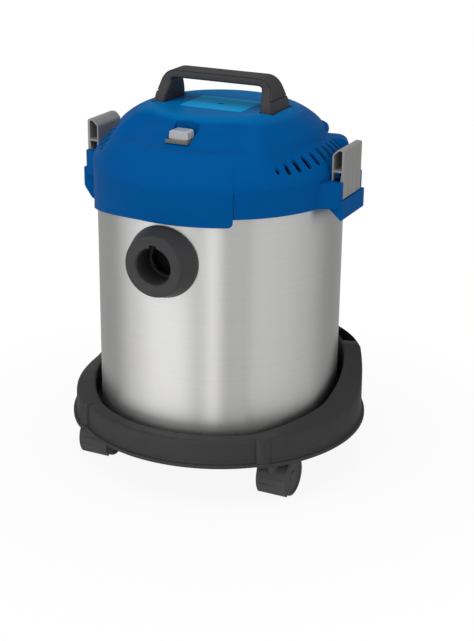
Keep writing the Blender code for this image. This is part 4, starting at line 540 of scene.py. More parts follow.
def plastic(name, colour, roughness, grain, depth, level, vary):
    """Moulded plastic: fine grain in the surface, slow drift of tone and gloss."""
    material, tree, shader, place = new_material(name, colour, roughness)
    set_inputs(tree, shader, {"Specular IOR Level": level})
    tint(tree, shader, noise(tree, place, 9.0, 2.0), shaded(colour, 1 - vary), shaded(colour, 1 + vary))
    gloss(tree, shader, noise(tree, place, 60.0, 4.0), roughness - 0.05, roughness + 0.05)
    bump(tree, shader, noise(tree, place, grain, 2.0), depth)
    return material


def paint_top_highlight(material, low, high, colour):
    """Paint a highlight on a plastic's top: blend it towards a paler colour between two heights, where the top
    lamp lights the crown.
    """
    tree = material.node_tree
    base = tree.nodes["Principled BSDF"].inputs["Base Color"]
    tone = base.links[0].from_socket
    place = tree.nodes["Texture Coordinate"].outputs["Object"]
    height = add_node(tree, "SeparateXYZ", {"Vector": place}).outputs["Z"]
    share = spread(tree, height, 0.0, 1.0, low, high)
    blend = add_node(tree, "Mix", {0: share, 6: tone, 7: (*colour, 1.0)}, data_type="RGBA")
    tree.links.new(blend.outputs[2], base)


def brushed_steel(name, colour):
    """Steel sheet brushed round the drum, so its reflections spread up and down."""
    material, tree, shader, place = new_material(name, colour, 0.34, 1.0)
    tangent = add_node(tree, "Tangent", {}, direction_type="RADIAL", axis="Z").outputs["Tangent"]
    set_inputs(tree, shader, {"Anisotropic": 0.8, "Anisotropic Rotation": 0.25, "Tangent": tangent})
    fine = spread(tree, noise(tree, place, 1.0, 3.0, (12.0, 12.0, 2200.0)), 0.0, 0.5)
    wide = noise(tree, place, 1.0, 2.0, (4.0, 4.0, 500.0))
    both = add_node(tree, "Math", {0: wide, 1: 0.5, 2: fine}, operation="MULTIPLY_ADD").outputs[0]
    tint(tree, shader, both, shaded(colour, 0.975), shaded(colour, 1.02))
    gloss(tree, shader, both, 0.33, 0.36)
    bump(tree, shader, both, 0.000002)
    return material


def metal(name, colour, roughness, grain=700.0, depth=0.00001):
    """Plain metal with a lightly mottled polish."""
    material, tree, shader, place = new_material(name, colour, roughness, 1.0)
    mottle = noise(tree, place, 90.0, 4.0)
    gloss(tree, shader, mottle, roughness - 0.08, roughness + 0.1)
    tint(tree, shader, mottle, shaded(colour, 0.88), shaded(colour, 1.06))
    bump(tree, shader, noise(tree, place, grain, 2.0), depth)
    return material


def fibre(name, colour):
    """Filter paper: matt, with short fibres."""
    material, tree, shader, place = new_material(name, colour, 0.92)
    tint(tree, shader, noise(tree, place, 140.0, 5.0), shaded(colour, 0.86), colour)
    bump(tree, shader, noise(tree, place, 1.0, 4.0, (900.0, 900.0, 250.0)), 0.00008)
    return material


def clear_cap(name, colour):
    """Cloudy translucent rocker cap."""
    material, tree, shader, place = new_material(name, colour, 0.16)
    set_inputs(tree, shader, {
        "Transmission Weight": 0.35, "Subsurface Weight": 0.25, "Subsurface Radius": (0.004, 0.005, 0.006),
        "Coat Weight": 0.4, "Coat Roughness": 0.08,
    })
    tint(tree, shader, noise(tree, place, 120.0, 3.0), shaded(colour, 0.93), colour)
    bump(tree, shader, noise(tree, place, 300.0, 2.0), 0.00002)
    return material


BLUE = plastic("blue_moulding", (0.0, 0.082, 0.285), 0.45, 1500.0, 0.00002, 0.02, 0.04)
# painted highlight: the cover's crown is drawn paler blue between these heights, standing in for the top light
paint_top_highlight(BLUE, COLLAR_TOP + 0.054, COLLAR_TOP + 0.061, (0.0, 0.15, 0.4))
# crown panel: a lighter blue insert, with its colour raised further as a painted reflection of the bright studio
PANEL_BLUE_AND_PAINTED_REFLECTION = plastic("panel_blue_and_painted_reflection", (0.003, 0.32, 0.68), 0.5, 700.0, 0.00001, 0.02, 0.03)
BLACK = plastic("black_moulding", (0.034, 0.034, 0.036), 0.5, 1400.0, 0.00004, 0.4, 0.12)
DOLLY_BLACK = plastic("dolly_moulding", (0.025, 0.025, 0.026), 0.52, 1100.0, 0.00005, 0.45, 0.12)
FRAME_GREY = plastic("switch_frame", (0.13, 0.13, 0.125), 0.4, 1400.0, 0.00003, 0.45, 0.08)
GRIP = plastic("grip_rubber", (0.04, 0.04, 0.042), 0.62, 2200.0, 0.00008, 0.3, 0.1)
WHEEL = plastic("wheel_moulding", (0.045, 0.045, 0.046), 0.5, 1300.0, 0.00004, 0.45, 0.1)
GREY = plastic("grey_moulding", (0.27, 0.27, 0.262), 0.42, 1500.0, 0.00002, 0.45, 0.06)
RUBBER = plastic("black_rubber", (0.018, 0.018, 0.018), 0.7, 1600.0, 0.00005, 0.3, 0.15)
WHITE = plastic("white_moulding", (0.72, 0.72, 0.69), 0.45, 1500.0, 0.00002, 0.45, 0.04)
STEEL = brushed_steel("brushed_steel", (0.8, 0.795, 0.785))
ZINC = metal("zinc_plate", (0.55, 0.55, 0.52), 0.35)
ALLOY = metal("cast_alloy", (0.6, 0.61, 0.62), 0.45, 500.0, 0.00004)
COPPER = metal("copper_wire", (0.62, 0.28, 0.13), 0.35, 900.0, 0.00003)
PAPER = fibre("filter_paper", (0.78, 0.76, 0.68))
CAP = clear_cap("clear_cap", (0.68, 0.7, 0.72))
SLOT_FINISH = {
    "blue_plastic": BLUE, "black_plastic": BLACK, "soft_grip": GRIP, "wheel_plastic": WHEEL,
    "grey_plastic": GREY, "brushed_steel": STEEL, "zinc_steel": ZINC, "rubber": RUBBER,
    "clear_cap": CAP, "filter_paper": PAPER, "copper": COPPER, "white_plastic": WHITE,
    "light_alloy": ALLOY,
}


def dress_cad_nodes():
    """Give every node that stays its slot's finish."""
    for entry in frame["record"]["subparts"]:
        item = frame["nodes"][entry["node"]]
        item.data.materials.clear()
        item.data.materials.append(SLOT_FINISH[entry["material_slot"]])
    frame["nodes"]["cord_gland"].data.materials[0] = BLUE


# ============ drum and hose inlet
def make_drum():
    """Brushed drum with its rolled rim, rounded foot and a hole for the inlet."""
    inner = DRUM_RADIUS - DRUM_WALL
    foot, dish = DRUM_RADIUS - 0.010, DRUM_RADIUS - 0.014
    floor = DRUM_BASE + 0.0022
    rim = DRUM_RADIUS - 0.003
    section = rounded((
        (0.0, floor, 0), (dish, floor, 0.003), (foot, DRUM_BASE, 0.003),
        (DRUM_RADIUS, DRUM_BASE, 0.0045), (DRUM_RADIUS, DRUM_TOP, 0.001), (rim, DRUM_TOP, 0.001),
        (rim, DRUM_TOP - 0.003, 0.0005), (inner, DRUM_TOP - 0.003, 0.0003),
        (inner, DRUM_BASE + DRUM_WALL, 0.0035), (foot, DRUM_BASE + DRUM_WALL, 0.003),
        (dish, floor + DRUM_WALL, 0.003), (0.0, floor + DRUM_WALL, 0),
    ))
    drum = turned("drum_shell", section, 2 * TURN_SIDES)
    cut(drum, rod("drum_hole", INLET_SPIGOT + SEAT_GAP, 0.1, 0.16, 96, INLET_PLACE, AHEAD))
    drum.data.shade_smooth()
    drum.data.set_sharp_from_angle(angle=math.radians(40))
    place_piece(drum, "root", "brushed_steel", STEEL, "steel_drum")


def make_inlet():
    """Hose inlet with its dished face, bayonet slot and stepped bore."""
    lay = laid(INLET_PLACE, AHEAD)
    start = DRUM_RADIUS - INLET_RADIUS
    section = rounded((
        (0.0, start, 0), (INLET_RADIUS, start, 0), (INLET_RADIUS, DRUM_RADIUS + 0.001, 0.002),
        (0.0312, INLET_FACE - 0.0004, 0.0016), (0.0285, INLET_FACE, 0.002), (0.0, INLET_FACE, 0),
    ))
    port = turned("inlet_body", section, 144, lay)
    saddle = ring_section(0.0, DRUM_RADIUS + 0.0015, INLET_HEIGHT - 0.08, INLET_HEIGHT + 0.08)
    cut(port, turned("saddle", saddle, 2 * TURN_SIDES))
    fuse(port, rod("spigot", INLET_SPIGOT, 0.118, 0.14, 96, INLET_PLACE, AHEAD))
    bore = rounded((
        (0.0, start, 0), (INLET_THROAT, start, 0), (INLET_THROAT, INLET_STEP, 0.0006),
        (INLET_BORE, INLET_STEP, 0.0006), (INLET_BORE, INLET_FACE - 0.0016, 0.0012),
        (INLET_BORE + 0.002, INLET_FACE + 0.0004, 0), (0.0, INLET_FACE + 0.0004, 0),
    ))
    cut(port, turned("bore", bore, 96, lay))
    half, top = INLET_KEY_HALF, INLET_KEY_TOP
    key = rounded(((-half, -0.012, 0), (half, -0.012, 0), (half, top, 0.0012), (-half, top, 0.0012)))
    key = [(across, INLET_HEIGHT + rise) for across, rise in key]
    cut(port, prism("key", key, -0.17, -0.1385, "xzy"))
    soften(port, 0.0004, 2, 38.0)
    place_piece(port, "root", "black_plastic", BLACK, "inlet_port")


# ============ collar, brackets and latches
def apron_span(angle, margin=0.0):
    """Whether the head's apron hangs at this angle."""
    return APRON_LEFT - margin <= angle <= APRON_RIGHT + margin


def ring_angles(step, extras):
    """Even angles round the circle, with extra ones put in and crowded ones left out."""
    angles = list(extras)
    for place in range(round(360.0 / step)):
        angle = -180.0 + step * place
        if all(abs((angle - extra + 180.0) % 360.0 - 180.0) > 0.4 * step for extra in extras):
            angles.append(angle)
    return sorted(angles)


def step_marks(gap):
    """Close angles at the apron's two ends."""
    marks = []
    for count in range(4):
        marks.append(APRON_LEFT - count * gap)
        marks.append(APRON_RIGHT + count * gap)
    return marks


def collar_section(angle):
    """Closed outline of the collar's ring."""
    shelf_top = DRUM_TOP + SEAT_GAP + 0.003
    shelf_low = DRUM_TOP + SEAT_GAP
    outer = BAND_RADIUS
    if apron_span(angle, 0.15):
        outer = COLLAR_INNER + COLLAR_THIN_WALL
    shelf = COLLAR_INNER - 0.005
    outline = rounded((
        (outer, COLLAR_BOTTOM, 0.0008), (outer, COLLAR_TOP, 0.00005), (COLLAR_INNER, COLLAR_TOP, 0.0004),
        (COLLAR_INNER, shelf_top, 0.0004), (shelf, shelf_top, 0.0004), (shelf, shelf_low, 0.0004),
        (COLLAR_INNER, shelf_low, 0.0001), (COLLAR_INNER, COLLAR_BOTTOM, 0.0004),
    ), 3)
    return [polar(point.x, angle, point.y) for point in outline]


def make_bracket(side):
    """Pad, ears and grip lip that carry one latch."""
    root = DRUM_RADIUS - COLLAR_WALL
    ends = math.sqrt(BAND_RADIUS ** 2 - BRACKET_HALF ** 2)
    reach = BAND_RADIUS + BRACKET_REACH
    outline = rounded((
        (root, -BRACKET_HALF, 0), (ends, -BRACKET_HALF, 0.004), (reach, -BRACKET_EAR_HALF, 0.004),
        (reach, BRACKET_EAR_HALF, 0.004), (ends, BRACKET_HALF, 0.004), (root, BRACKET_HALF, 0),
    ))
    bracket = prism("bracket", mirrored(outline, side), COLLAR_BOTTOM, COLLAR_TOP)
    root_low = COLLAR_BOTTOM - (LEFT_TONGUE_ROOT_DROP if side < 0 else 0.0)
    reach = BAND_RADIUS + TONGUE_REACH
    knee = mix(BAND_RADIUS, reach, 0.35)       # where the tongue's lower edge bends
    tongue_low, tongue_top = COLLAR_BOTTOM - TONGUE_DROP, LATCH_BOTTOM - SEAT_GAP
    outline = rounded((
        (root, root_low, 0), (BAND_RADIUS, root_low, 0.002),
        (knee, min(root_low, COLLAR_BOTTOM - TONGUE_DROP / 3), 0.003), (reach, tongue_low, 0.0025),
        (reach, tongue_top, 0.001), (root, tongue_top, 0),
    ))
    fuse(bracket, prism("tongue", mirrored(outline, side), -TONGUE_HALF, TONGUE_HALF, "xzy"))
    swing = math.hypot(LATCH_FACE - LATCH_PIVOT, LATCH_PIVOT_HEIGHT - LATCH_BOTTOM)
    floor = LATCH_PIVOT_HEIGHT - swing - SEAT_GAP
    wide = LATCH_HALF + SEAT_GAP
    shape = bmesh.new()
    near, far = pair(side, LATCH_PIVOT - LATCH_BARREL - SEAT_GAP, LATCH_FACE + SEAT_GAP)
    add_box(shape, (near, -wide, floor), (far, wide, COLLAR_TOP + COLLAR_WALL))
    deep = COLLAR_BOTTOM - 2 * LEFT_TONGUE_ROOT_DROP
    near, far = pair(side, BAND_RADIUS + SEAT_GAP, reach - LATCH_WALL)
    half = TONGUE_HALF - LATCH_WALL
    add_box(shape, (near, -half, deep), (far, half, tongue_low + GRIP_DEPTH))
    cut(bracket, make_object("pocket", shape))
    soften(bracket, 0.0007, 2)
    cut(bracket, turned("hollow", ring_section(0.0, COLLAR_INNER + SEAT_GAP, deep, COLLAR_TOP + 0.01)))
    return bracket


def make_collar():
    """Blue ring on the drum's rim with a bracket for each latch."""
    sections = [collar_section(angle) for angle in ring_angles(COVER_STEP, step_marks(0.1))]
    collar = ring_of_sections("collar_ring", sections)
    for side in (-1, 1):
        fuse(collar, make_bracket(side))
        place = (side * LATCH_PIVOT, -0.0298, LATCH_PIVOT_HEIGHT)
        cut(collar, rod("pin_hole", PIN_HOLE, 0.0, 0.0596, 24, place, BACK))
    near, far = BAND_RADIUS - 0.012, BAND_RADIUS + 0.012
    cut(collar, rod("port_notch", PORT_OUTER + 2 * SEAT_GAP, near, far, 72, PORT_PLACE, BACK))
    soften(collar, 0.0)
    place_piece(collar, "root", "blue_plastic", BLUE, "drum_collar")


def make_latch(hand, side):
    """Hollow grey lever with a ribbed face."""
    face_inner = LATCH_FACE - LATCH_FACE_THICK
    leg = LATCH_INNER + LATCH_WALL
    bar_top = LATCH_BAR_HEIGHT + LATCH_BAR_THICK
    chamfer = LATCH_TOP - LATCH_CHAMFER
    foot = COLLAR_TOP + SEAT_GAP
    corners = [
        (LATCH_FACE, LATCH_BOTTOM, 0.0006), (LATCH_FACE, LATCH_TOP, 0.0022),
        (LATCH_INNER + LATCH_CHAMFER, LATCH_TOP, 0.002), (LATCH_INNER, chamfer, 0.0025),
        (LATCH_INNER, foot, 0.0004), (leg, foot, 0.0004), (leg, LATCH_BAR_HEIGHT, 0.0004),
        (face_inner, LATCH_BAR_HEIGHT, 0.0006),
    ]
    barrel = arc((LATCH_PIVOT, LATCH_PIVOT_HEIGHT), LATCH_BARREL, 60.0, 300.0, 20)
    corners += [(x, z, 0) for x, z in barrel]
    corners.append((face_inner, LATCH_BOTTOM, 0.0006))
    outline = mirrored(rounded(corners), side)
    latch = prism("latch_lever_" + hand, outline, -LATCH_HALF, LATCH_HALF, "xzy")
    roof = LATCH_TOP - LATCH_WALL
    slope = 0.4 * LATCH_WALL
    hollow = mirrored(rounded((
        (face_inner, bar_top, 0.001), (face_inner, roof, 0.0015),
        (LATCH_INNER + LATCH_CHAMFER + slope, roof, 0.001), (leg, chamfer - slope, 0.001),
        (leg, bar_top, 0.001),
    )), side)
    shape = bmesh.new()
    add_prism(shape, hollow, -0.05, -0.001, "xzy")
    add_prism(shape, hollow, 0.001, 0.05, "xzy")
    wide = LUG_HALF + 0.001
    near, far = pair(side, LATCH_INNER - LATCH_WALL, leg + SEAT_GAP)
    add_box(shape, (near, -wide, foot - LATCH_WALL), (far, wide, LATCH_BAR_HEIGHT))
    cut(latch, make_object("hollows", shape))
    grooves = []
    for middle in (-GROOVE_PITCH, 0.0, GROOVE_PITCH):
        outline = [(middle + y, side * (LATCH_FACE + x)) for y, x in GROOVE]
        grooves.append((outline, LATCH_BOTTOM - 0.01, LATCH_TOP - 0.004))
    cut(latch, prisms("grooves", grooves, "yxz"))
    place = (side * LATCH_PIVOT, -0.03, LATCH_PIVOT_HEIGHT)
    cut(latch, rod("bore", PIN_HOLE, 0.0, 0.06, 24, place, BACK))
    soften(latch, 0.0004, 2)
    place_piece(latch, "latch_" + hand, "grey_plastic", GREY, "latch_" + hand)


# ============ head cover
def side_profile(angle):
    """Outer points from the crown down the scooped side to the band."""
    foot = DOME_SHOULDER_RADIUS + 0.002
    span = BAND_RADIUS - foot
    lift = VENT_RISE * smooth((abs(angle) - VENT_RISE_START) / VENT_RISE_SPAN)
    return [
        (mix(DOME_CROWN_RADIUS, DOME_SHOULDER_RADIUS, 0.40), mix(DOME_HEIGHT, DOME_SHOULDER_HEIGHT, 0.24)),
        (mix(DOME_CROWN_RADIUS, DOME_SHOULDER_RADIUS, 0.76), mix(DOME_HEIGHT, DOME_SHOULDER_HEIGHT, 0.62)),
        (DOME_SHOULDER_RADIUS, DOME_SHOULDER_HEIGHT),
        (foot, DOME_FOOT_HEIGHT + 0.5 * lift),
        (foot + 0.16 * span, mix(SCOOP_RIM_HEIGHT, DOME_FOOT_HEIGHT, 0.58) + 0.8 * lift),
        (foot + 0.42 * span, mix(SCOOP_RIM_HEIGHT, DOME_FOOT_HEIGHT, 0.28) + lift),
        (foot + 0.72 * span, SCOOP_RIM_HEIGHT + 0.6 * lift),
        (foot + 0.92 * span, 0.66 * SCOOP_RIM_HEIGHT + 0.2 * lift),
        (BAND_RADIUS, 0.30 * SCOOP_RIM_HEIGHT),
        (BAND_RADIUS, 0.16 * SCOOP_RIM_HEIGHT),
    ]


def rear_profile(angle):
    """Outer points from the crown to the rear bulge, which rises round the blower port."""
    top = follow(REAR_BULGE_RISE, abs(angle))
    foot = DOME_SHOULDER_RADIUS + 0.002
    span = BAND_RADIUS - foot
    return side_profile(angle)[:3] + [
        (foot, max(DOME_FOOT_HEIGHT, top + 0.0005)), (foot + 0.16 * span, top + 0.0003),
        (foot + 0.42 * span, top), (foot + 0.72 * span, top - 0.001),
        (foot + 0.92 * span, top - 0.0045), (BAND_RADIUS, top - 0.011),
        (BAND_RADIUS, 0.16 * SCOOP_RIM_HEIGHT),
    ]


def apron_radius(angle):
    """Outer radius of the apron, which thins towards the left bracket."""
    taper = smooth((APRON_SWEEP_START - angle) / 45.0)
    return BAND_RADIUS + APRON_PROUD - APRON_TAPER * taper


def brow_profile(angle):
    """Outer points of the rounded slope over the apron."""
    edge = apron_radius(angle) if apron_span(angle) else BAND_RADIUS
    points = []
    for step in range(10):
        turn = math.radians(mix(12.0, 90.0, step / 9))
        outer = mix(BAND_RADIUS, edge, (step / 9) ** 4)
        radius = mix(DOME_CROWN_RADIUS, outer, math.sin(turn) ** (2 / BROW_POWER))
        points.append((radius, DOME_HEIGHT * math.cos(turn) ** (2 / BROW_POWER)))
    points[-1] = (edge, 0.10 * SCOOP_RIM_HEIGHT)
    return points


def apron_edge(angle):
    """Height of the apron's lower edge, with its right corner rounded."""
    past = max(APRON_SWEEP_START - angle, 0.0) / (APRON_SWEEP_START - APRON_LEFT)
    low = COLLAR_TOP - APRON_DROP - APRON_SWEEP_DROP * past ** 1.5
    near = min(max((angle - (APRON_RIGHT - APRON_CORNER)) / APRON_CORNER, 0.0), 1.0)
    return low + APRON_CORNER_RISE * (1.0 - math.sqrt(1.0 - near * near))


def dish_depth(radius, angle):
    """How far the hollow round the switch lowers the front slope."""
    back = smooth((radius - DOME_CROWN_RADIUS) / DISH_BACK)
    front = smooth((DOME_CROWN_RADIUS + DISH_REACH - radius) / DISH_FRONT)
    ends = smooth((DISH_HALF_ANGLE - abs(angle)) / DISH_END)
    return DISH_DEPTH * back * front * ends


def cover_profile(angle):
    """Outer (radius, height) points of the cover at one angle, from the top to the edge."""
    base = rear_profile(angle) if abs(angle) >= REAR_BULGE_ANGLE else side_profile(angle)
    points = [
        (DOME_FLAT_RADIUS, DOME_HEIGHT - 0.0008),
        (mix(DOME_FLAT_RADIUS, DOME_CROWN_RADIUS, 0.45), DOME_HEIGHT),
        (DOME_CROWN_RADIUS, DOME_HEIGHT - 0.0004),
    ]
    brow = brow_profile(angle)
    for place, (near, far) in enumerate(zip(base, brow)):
        limit = mix(BROW_CROWN_ANGLE, BROW_FOOT_ANGLE, place / (len(base) - 1))
        share = smooth((limit + 9.0 - abs(angle)) / 18.0)
        points.append((mix(near[0], far[0], share), mix(near[1], far[1], share)))
    if apron_span(angle):
        points[-1] = (apron_radius(angle), 0.0)
    else:
        points[-1] = (points[-1][0], 0.16 * SCOOP_RIM_HEIGHT)
    corners = [(radius, height, 0.02) for radius, height in points]
    curve = rounded(corners, 4, closed=False)
    lowered = [(point.x, COLLAR_TOP + point.y - dish_depth(point.x, angle)) for point in curve]
    if apron_span(angle):
        low = apron_edge(angle)
        edge = apron_radius(angle)
        for height in (low + 0.0012, low + 0.0004):
            lowered.append((edge, height))
        lowered.append((edge - 0.0006, low))
    else:
        seat = COLLAR_TOP + SEAT_GAP / 5
        for height in (seat + 0.0006, seat + 0.0002, seat):
            lowered.append((BAND_RADIUS, height))
    return lowered


def inner_profile(angle, outer):
    """Inner surface of the cover at one angle."""
    points = []
    for place, (radius, height) in enumerate(outer):
        before, after = outer[max(place - 1, 0)], outer[min(place + 1, len(outer) - 1)]
        run, fall = after[0] - before[0], before[1] - after[1]
        if place == 0:
            run, fall = 1.0, 0.0
        length = math.hypot(run, fall)
        points.append((radius - COVER_WALL * fall / length, height - COVER_WALL * run / length))
    clear = COLLAR_INNER + COLLAR_THIN_WALL + SEAT_GAP
    edge = outer[-1]
    wall = max(BAND_RADIUS - COVER_WALL, clear) if apron_span(angle) else BAND_RADIUS - COVER_WALL
    points[-3:] = [(wall, outer[-3][1]), (wall, outer[-2][1]), (wall, edge[1])]
    if apron_span(angle):
        points[-4] = (wall, outer[-4][1])
    return points


def cover_angles():
    """Angles of the cover's columns, close together where it steps."""
    marks = step_marks(0.12)
    marks += [APRON_RIGHT - APRON_CORNER * share for share in (1.0, 0.7, 0.45, 0.25, 0.12, 0.04)]
    for side in (-1, 1):
        marks += [side * (REAR_BULGE_ANGLE - shift) for shift in (0.0, 0.6, 1.2)]
    return ring_angles(COVER_STEP, marks)


def solid_of_columns(name, angles, columns):
    """Closed solid with a column of (radius, height) points at each angle, flat at both ends."""
    mesh_edit = bmesh.new()
    rings = []
    for place in range(len(columns[0])):
        rings.append([mesh_edit.verts.new(polar(column[place][0], angle, column[place][1]))
                      for angle, column in zip(angles, columns)])
    skin_rings(mesh_edit, rings, close=False)
    for ring in (rings[0], rings[-1]):
        middle = mesh_edit.verts.new((0.0, 0.0, sum(corner.co.z for corner in ring) / len(ring)))
        for side in range(len(ring)):
            mesh_edit.faces.new((ring[side], ring[(side + 1) % len(ring)], middle))
    return make_object(name, mesh_edit)


def make_cover_outside():
    """Cover as a solid block."""
    angles = cover_angles()
    inward = COLLAR_INNER - COLLAR_WALL
    columns = [cover_profile(angle) for angle in angles]
    columns = [column + [(inward, column[-1][1])] for column in columns]
    return solid_of_columns("head_shell", angles, columns)


def make_cover_inside():
    """Room under the cover, as a solid that is open downwards."""
    angles = cover_angles()
    columns = []
    for angle in angles:
        column = inner_profile(angle, cover_profile(angle))
        column = [column[0]] + column[3:-4:3] + [column[-4], column[-1]]
        columns.append(column + [(column[-1][0], COLLAR_BOTTOM - 0.08)])
    return solid_of_columns("cover_room", angles, columns)


def foot_pocket_span():
    """Inner and outer distance of a handle foot's pocket from the centre."""
    lean = (HANDLE_FOOT - HANDLE_SHOULDER) * 0.2
    near = HANDLE_FOOT - HANDLE_THICK / 2 - HANDLE_LEG_EXTRA - POCKET_MARGIN - lean
    return near, HANDLE_FOOT + HANDLE_THICK / 2 + POCKET_MARGIN


def vent_outline(start, length):
    """Slot with round ends along the first axis."""
    half = VENT_WIDTH / 2
    near = arc((start + half, 0.0), half, 90.0, 270.0, 8)
    far = arc((start + length - half, 0.0), half, -90.0, 90.0, 8)
    return near + far


def foot_outline(side, margin, reach):
    """Outline round a handle foot's pocket."""
    near, far = foot_pocket_span()
    deep = HANDLE_FOOT_HALF + POCKET_MARGIN + margin
    return box_outline((far - near) / 2 + margin, deep, reach, (side * (near + far) / 2, 0.0))


def switch_outline(half_x, half_y, reach):
    """Rectangle round the switch's middle."""
    return box_outline(half_x, half_y, reach, (0.0, -SWITCH_CENTRE))


def pocket_shapes(name, margin, top, foot_reach, switch_reach):
    """Upright blocks in the pockets of the handle's feet and the switch, grown by a margin."""
    floor = HANDLE_FOOT_BASE - SEAT_GAP - margin
    parts = [(foot_outline(side, margin, foot_reach), floor, top) for side in (-1, 1)]
    half = SWITCH_HALF + POCKET_GAP + margin
    parts.append((switch_outline(half, half, switch_reach), SWITCH_FLOOR - margin, top))
    return prisms(name, parts)


def cut_pockets(cover):
    """Pockets for the handle's feet, the switch and the crown panel."""
    top = COLLAR_TOP + DOME_HEIGHT + 0.002
    cut(cover, pocket_shapes("pockets", 0.0, top, 0.0028, 0.0016))
    window = switch_outline(WINDOW_HALF_X, WINDOW_HALF_Y, 0.0005)
    cut(cover, prism("switch_hole", window, SWITCH_FLOOR - 0.01, SWITCH_FLOOR + 0.001))
    seat = box_outline(PANEL_HALF[0] + 0.0004, PANEL_HALF[1] + 0.0004, 0.0022)
    cut(cover, prism("panel_seat", seat, PANEL_FLOOR, top))


def cut_vents(cover):
    """Row of slots in each scooped side."""
    low, high = COLLAR_TOP + 0.0024, COLLAR_TOP + DOME_SHOULDER_HEIGHT
    start = DOME_SHOULDER_RADIUS + COVER_WALL + VENT_MARGIN
    slots = []
    for side in (-1, 1):
        for vent in range(VENT_COUNT):
            angle = side * (VENT_FIRST + vent * VENT_PITCH)
            outward, across = polar(1.0, angle, 0.0), polar(1.0, angle + 90.0, 0.0)
            skipped = VENT_LENGTH * (1.0 - (VENT_SHARES[vent] if vent < len(VENT_SHARES) else 1.0))
            outline = vent_outline(start + skipped, VENT_LENGTH - skipped)
            slots.append(([(outward * along + across * wide).xy for along, wide in outline], low, high))
    cut(cover, prisms("vent_slots", slots))


def make_panel():
    """Panel in the crown, with a round mark; its pale colour is partly its own lighter blue and partly a painted
    reflection of the bright studio.
    """
    outline = box_outline(*PANEL_HALF, 0.002)
    plate = prism("crown_panel", outline, PANEL_FLOOR + 0.0001, COLLAR_TOP + DOME_HEIGHT - 0.0006)
    mark = ring_section(0.0, 0.0035, PANEL_FLOOR - 0.001, COLLAR_TOP + DOME_HEIGHT + 0.002)
    cut(plate, turned("round_mark", mark, 48))
    soften(plate, 0.0004, 3)
    place_piece(plate, "head", "blue_plastic", PANEL_BLUE_AND_PAINTED_REFLECTION)


def make_cover():
    """Blue cover with pockets, slots and lugs."""
    cover = make_cover_outside()
    room = make_cover_inside()
    top = COLLAR_TOP + DOME_HEIGHT + COVER_WALL
    cut(room, pocket_shapes("pocket_blocks", COVER_WALL, top, 0.003, 0.002))
    cut(cover, room)
    lugs = bmesh.new()
    lug_top = LATCH_BAR_HEIGHT - SEAT_GAP
    for side in (-1, 1):
        near, far = pair(side, BAND_RADIUS - COVER_WALL, BAND_RADIUS + LUG_REACH)
        add_box(lugs, (near, -LUG_HALF, lug_top - LUG_THICK), (far, LUG_HALF, lug_top))
    fuse(cover, make_object("lugs", lugs))
    cut_pockets(cover)
    cut_vents(cover)
    hole = PORT_OUTER + SEAT_GAP
    cut(cover, rod("port_hole", hole, DOME_SHOULDER_RADIUS, 0.18, 72, PORT_PLACE, BACK))
    gland_low, gland_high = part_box("cord_gland")
    angle = math.degrees(math.atan2(gland_low.x + gland_high.x, -(gland_low.y + gland_high.y)))
    place = polar(BAND_RADIUS - COVER_WALL, angle, (gland_low.z + gland_high.z) / 2)
    cut(cover, rod("gland_hole", 0.0068, -0.008, 0.01, 48, place, polar(1.0, angle, 0.0)))
    soften(cover, 0.0, 2, 30.0)
    place_piece(cover, "head", "blue_plastic", BLUE, "head_cover")


# ============ carry handle
def handle_path(steps):
    """Middle line of the handle in the XZ plane, from the left foot to the right foot."""
    top = HANDLE_TOP - HANDLE_THICK / 2
    foot = Vector((HANDLE_FOOT, HANDLE_FOOT_BASE))
    corner = Vector((HANDLE_SHOULDER, top))
    along = (corner - foot).normalized()
    turn = math.acos(max(-1.0, min(1.0, along.dot(Vector((-1.0, 0.0))))))
    setback = HANDLE_CORNER * math.tan(turn / 2)
    normal = Vector((-along.y, along.x))
    middle = corner - along * setback + normal * HANDLE_CORNER
    right = [foot.lerp(corner - along * setback, step / 48) for step in range(48)]
    start = math.atan2(-normal.y, -normal.x)
    for step in range(steps + 1):
        angle = start + turn * step / steps
        right.append(middle + HANDLE_CORNER * Vector((math.cos(angle), math.sin(angle))))
    right += [Vector((right[-1].x * share, top)) for share in (0.8, 0.55, 0.3, 0.1)]
    left = [Vector((-point.x, point.y)) for point in right]
    return left + list(reversed(right))


def handle_half_width(height):
    """Half the handle's width along Y at a height."""
    share = smooth((height - HANDLE_FOOT_BASE) / (HANDLE_TOP - HANDLE_THICK - HANDLE_FOOT_BASE)) ** 2
    return mix(HANDLE_FOOT_HALF, HANDLE_BAR_HALF, share)


def sweep_bar(name, path, normals, margin, lows, highs, reach):
    """Rounded flat bar along the handle's path, between two offsets from it."""
    mesh_edit = bmesh.new()
    rings = []
    for point, normal, low, high in zip(path, normals, lows, highs):
        half = handle_half_width(point.y) - margin
        inner, outer = reach
        corners = ((low, -half, inner), (low, half, inner), (high, half, outer), (high, -half, outer))
        outline = rounded(corners, 5)
        ring = []
        for spot in outline:
            place = point + normal * spot.x
            ring.append(mesh_edit.verts.new((place.x, spot.y, place.y)))
        rings.append(ring)
    skin_rings(mesh_edit, rings, close=False)
    mesh_edit.faces.new(rings[0])
    mesh_edit.faces.new(rings[-1])
    return make_object(name, mesh_edit)


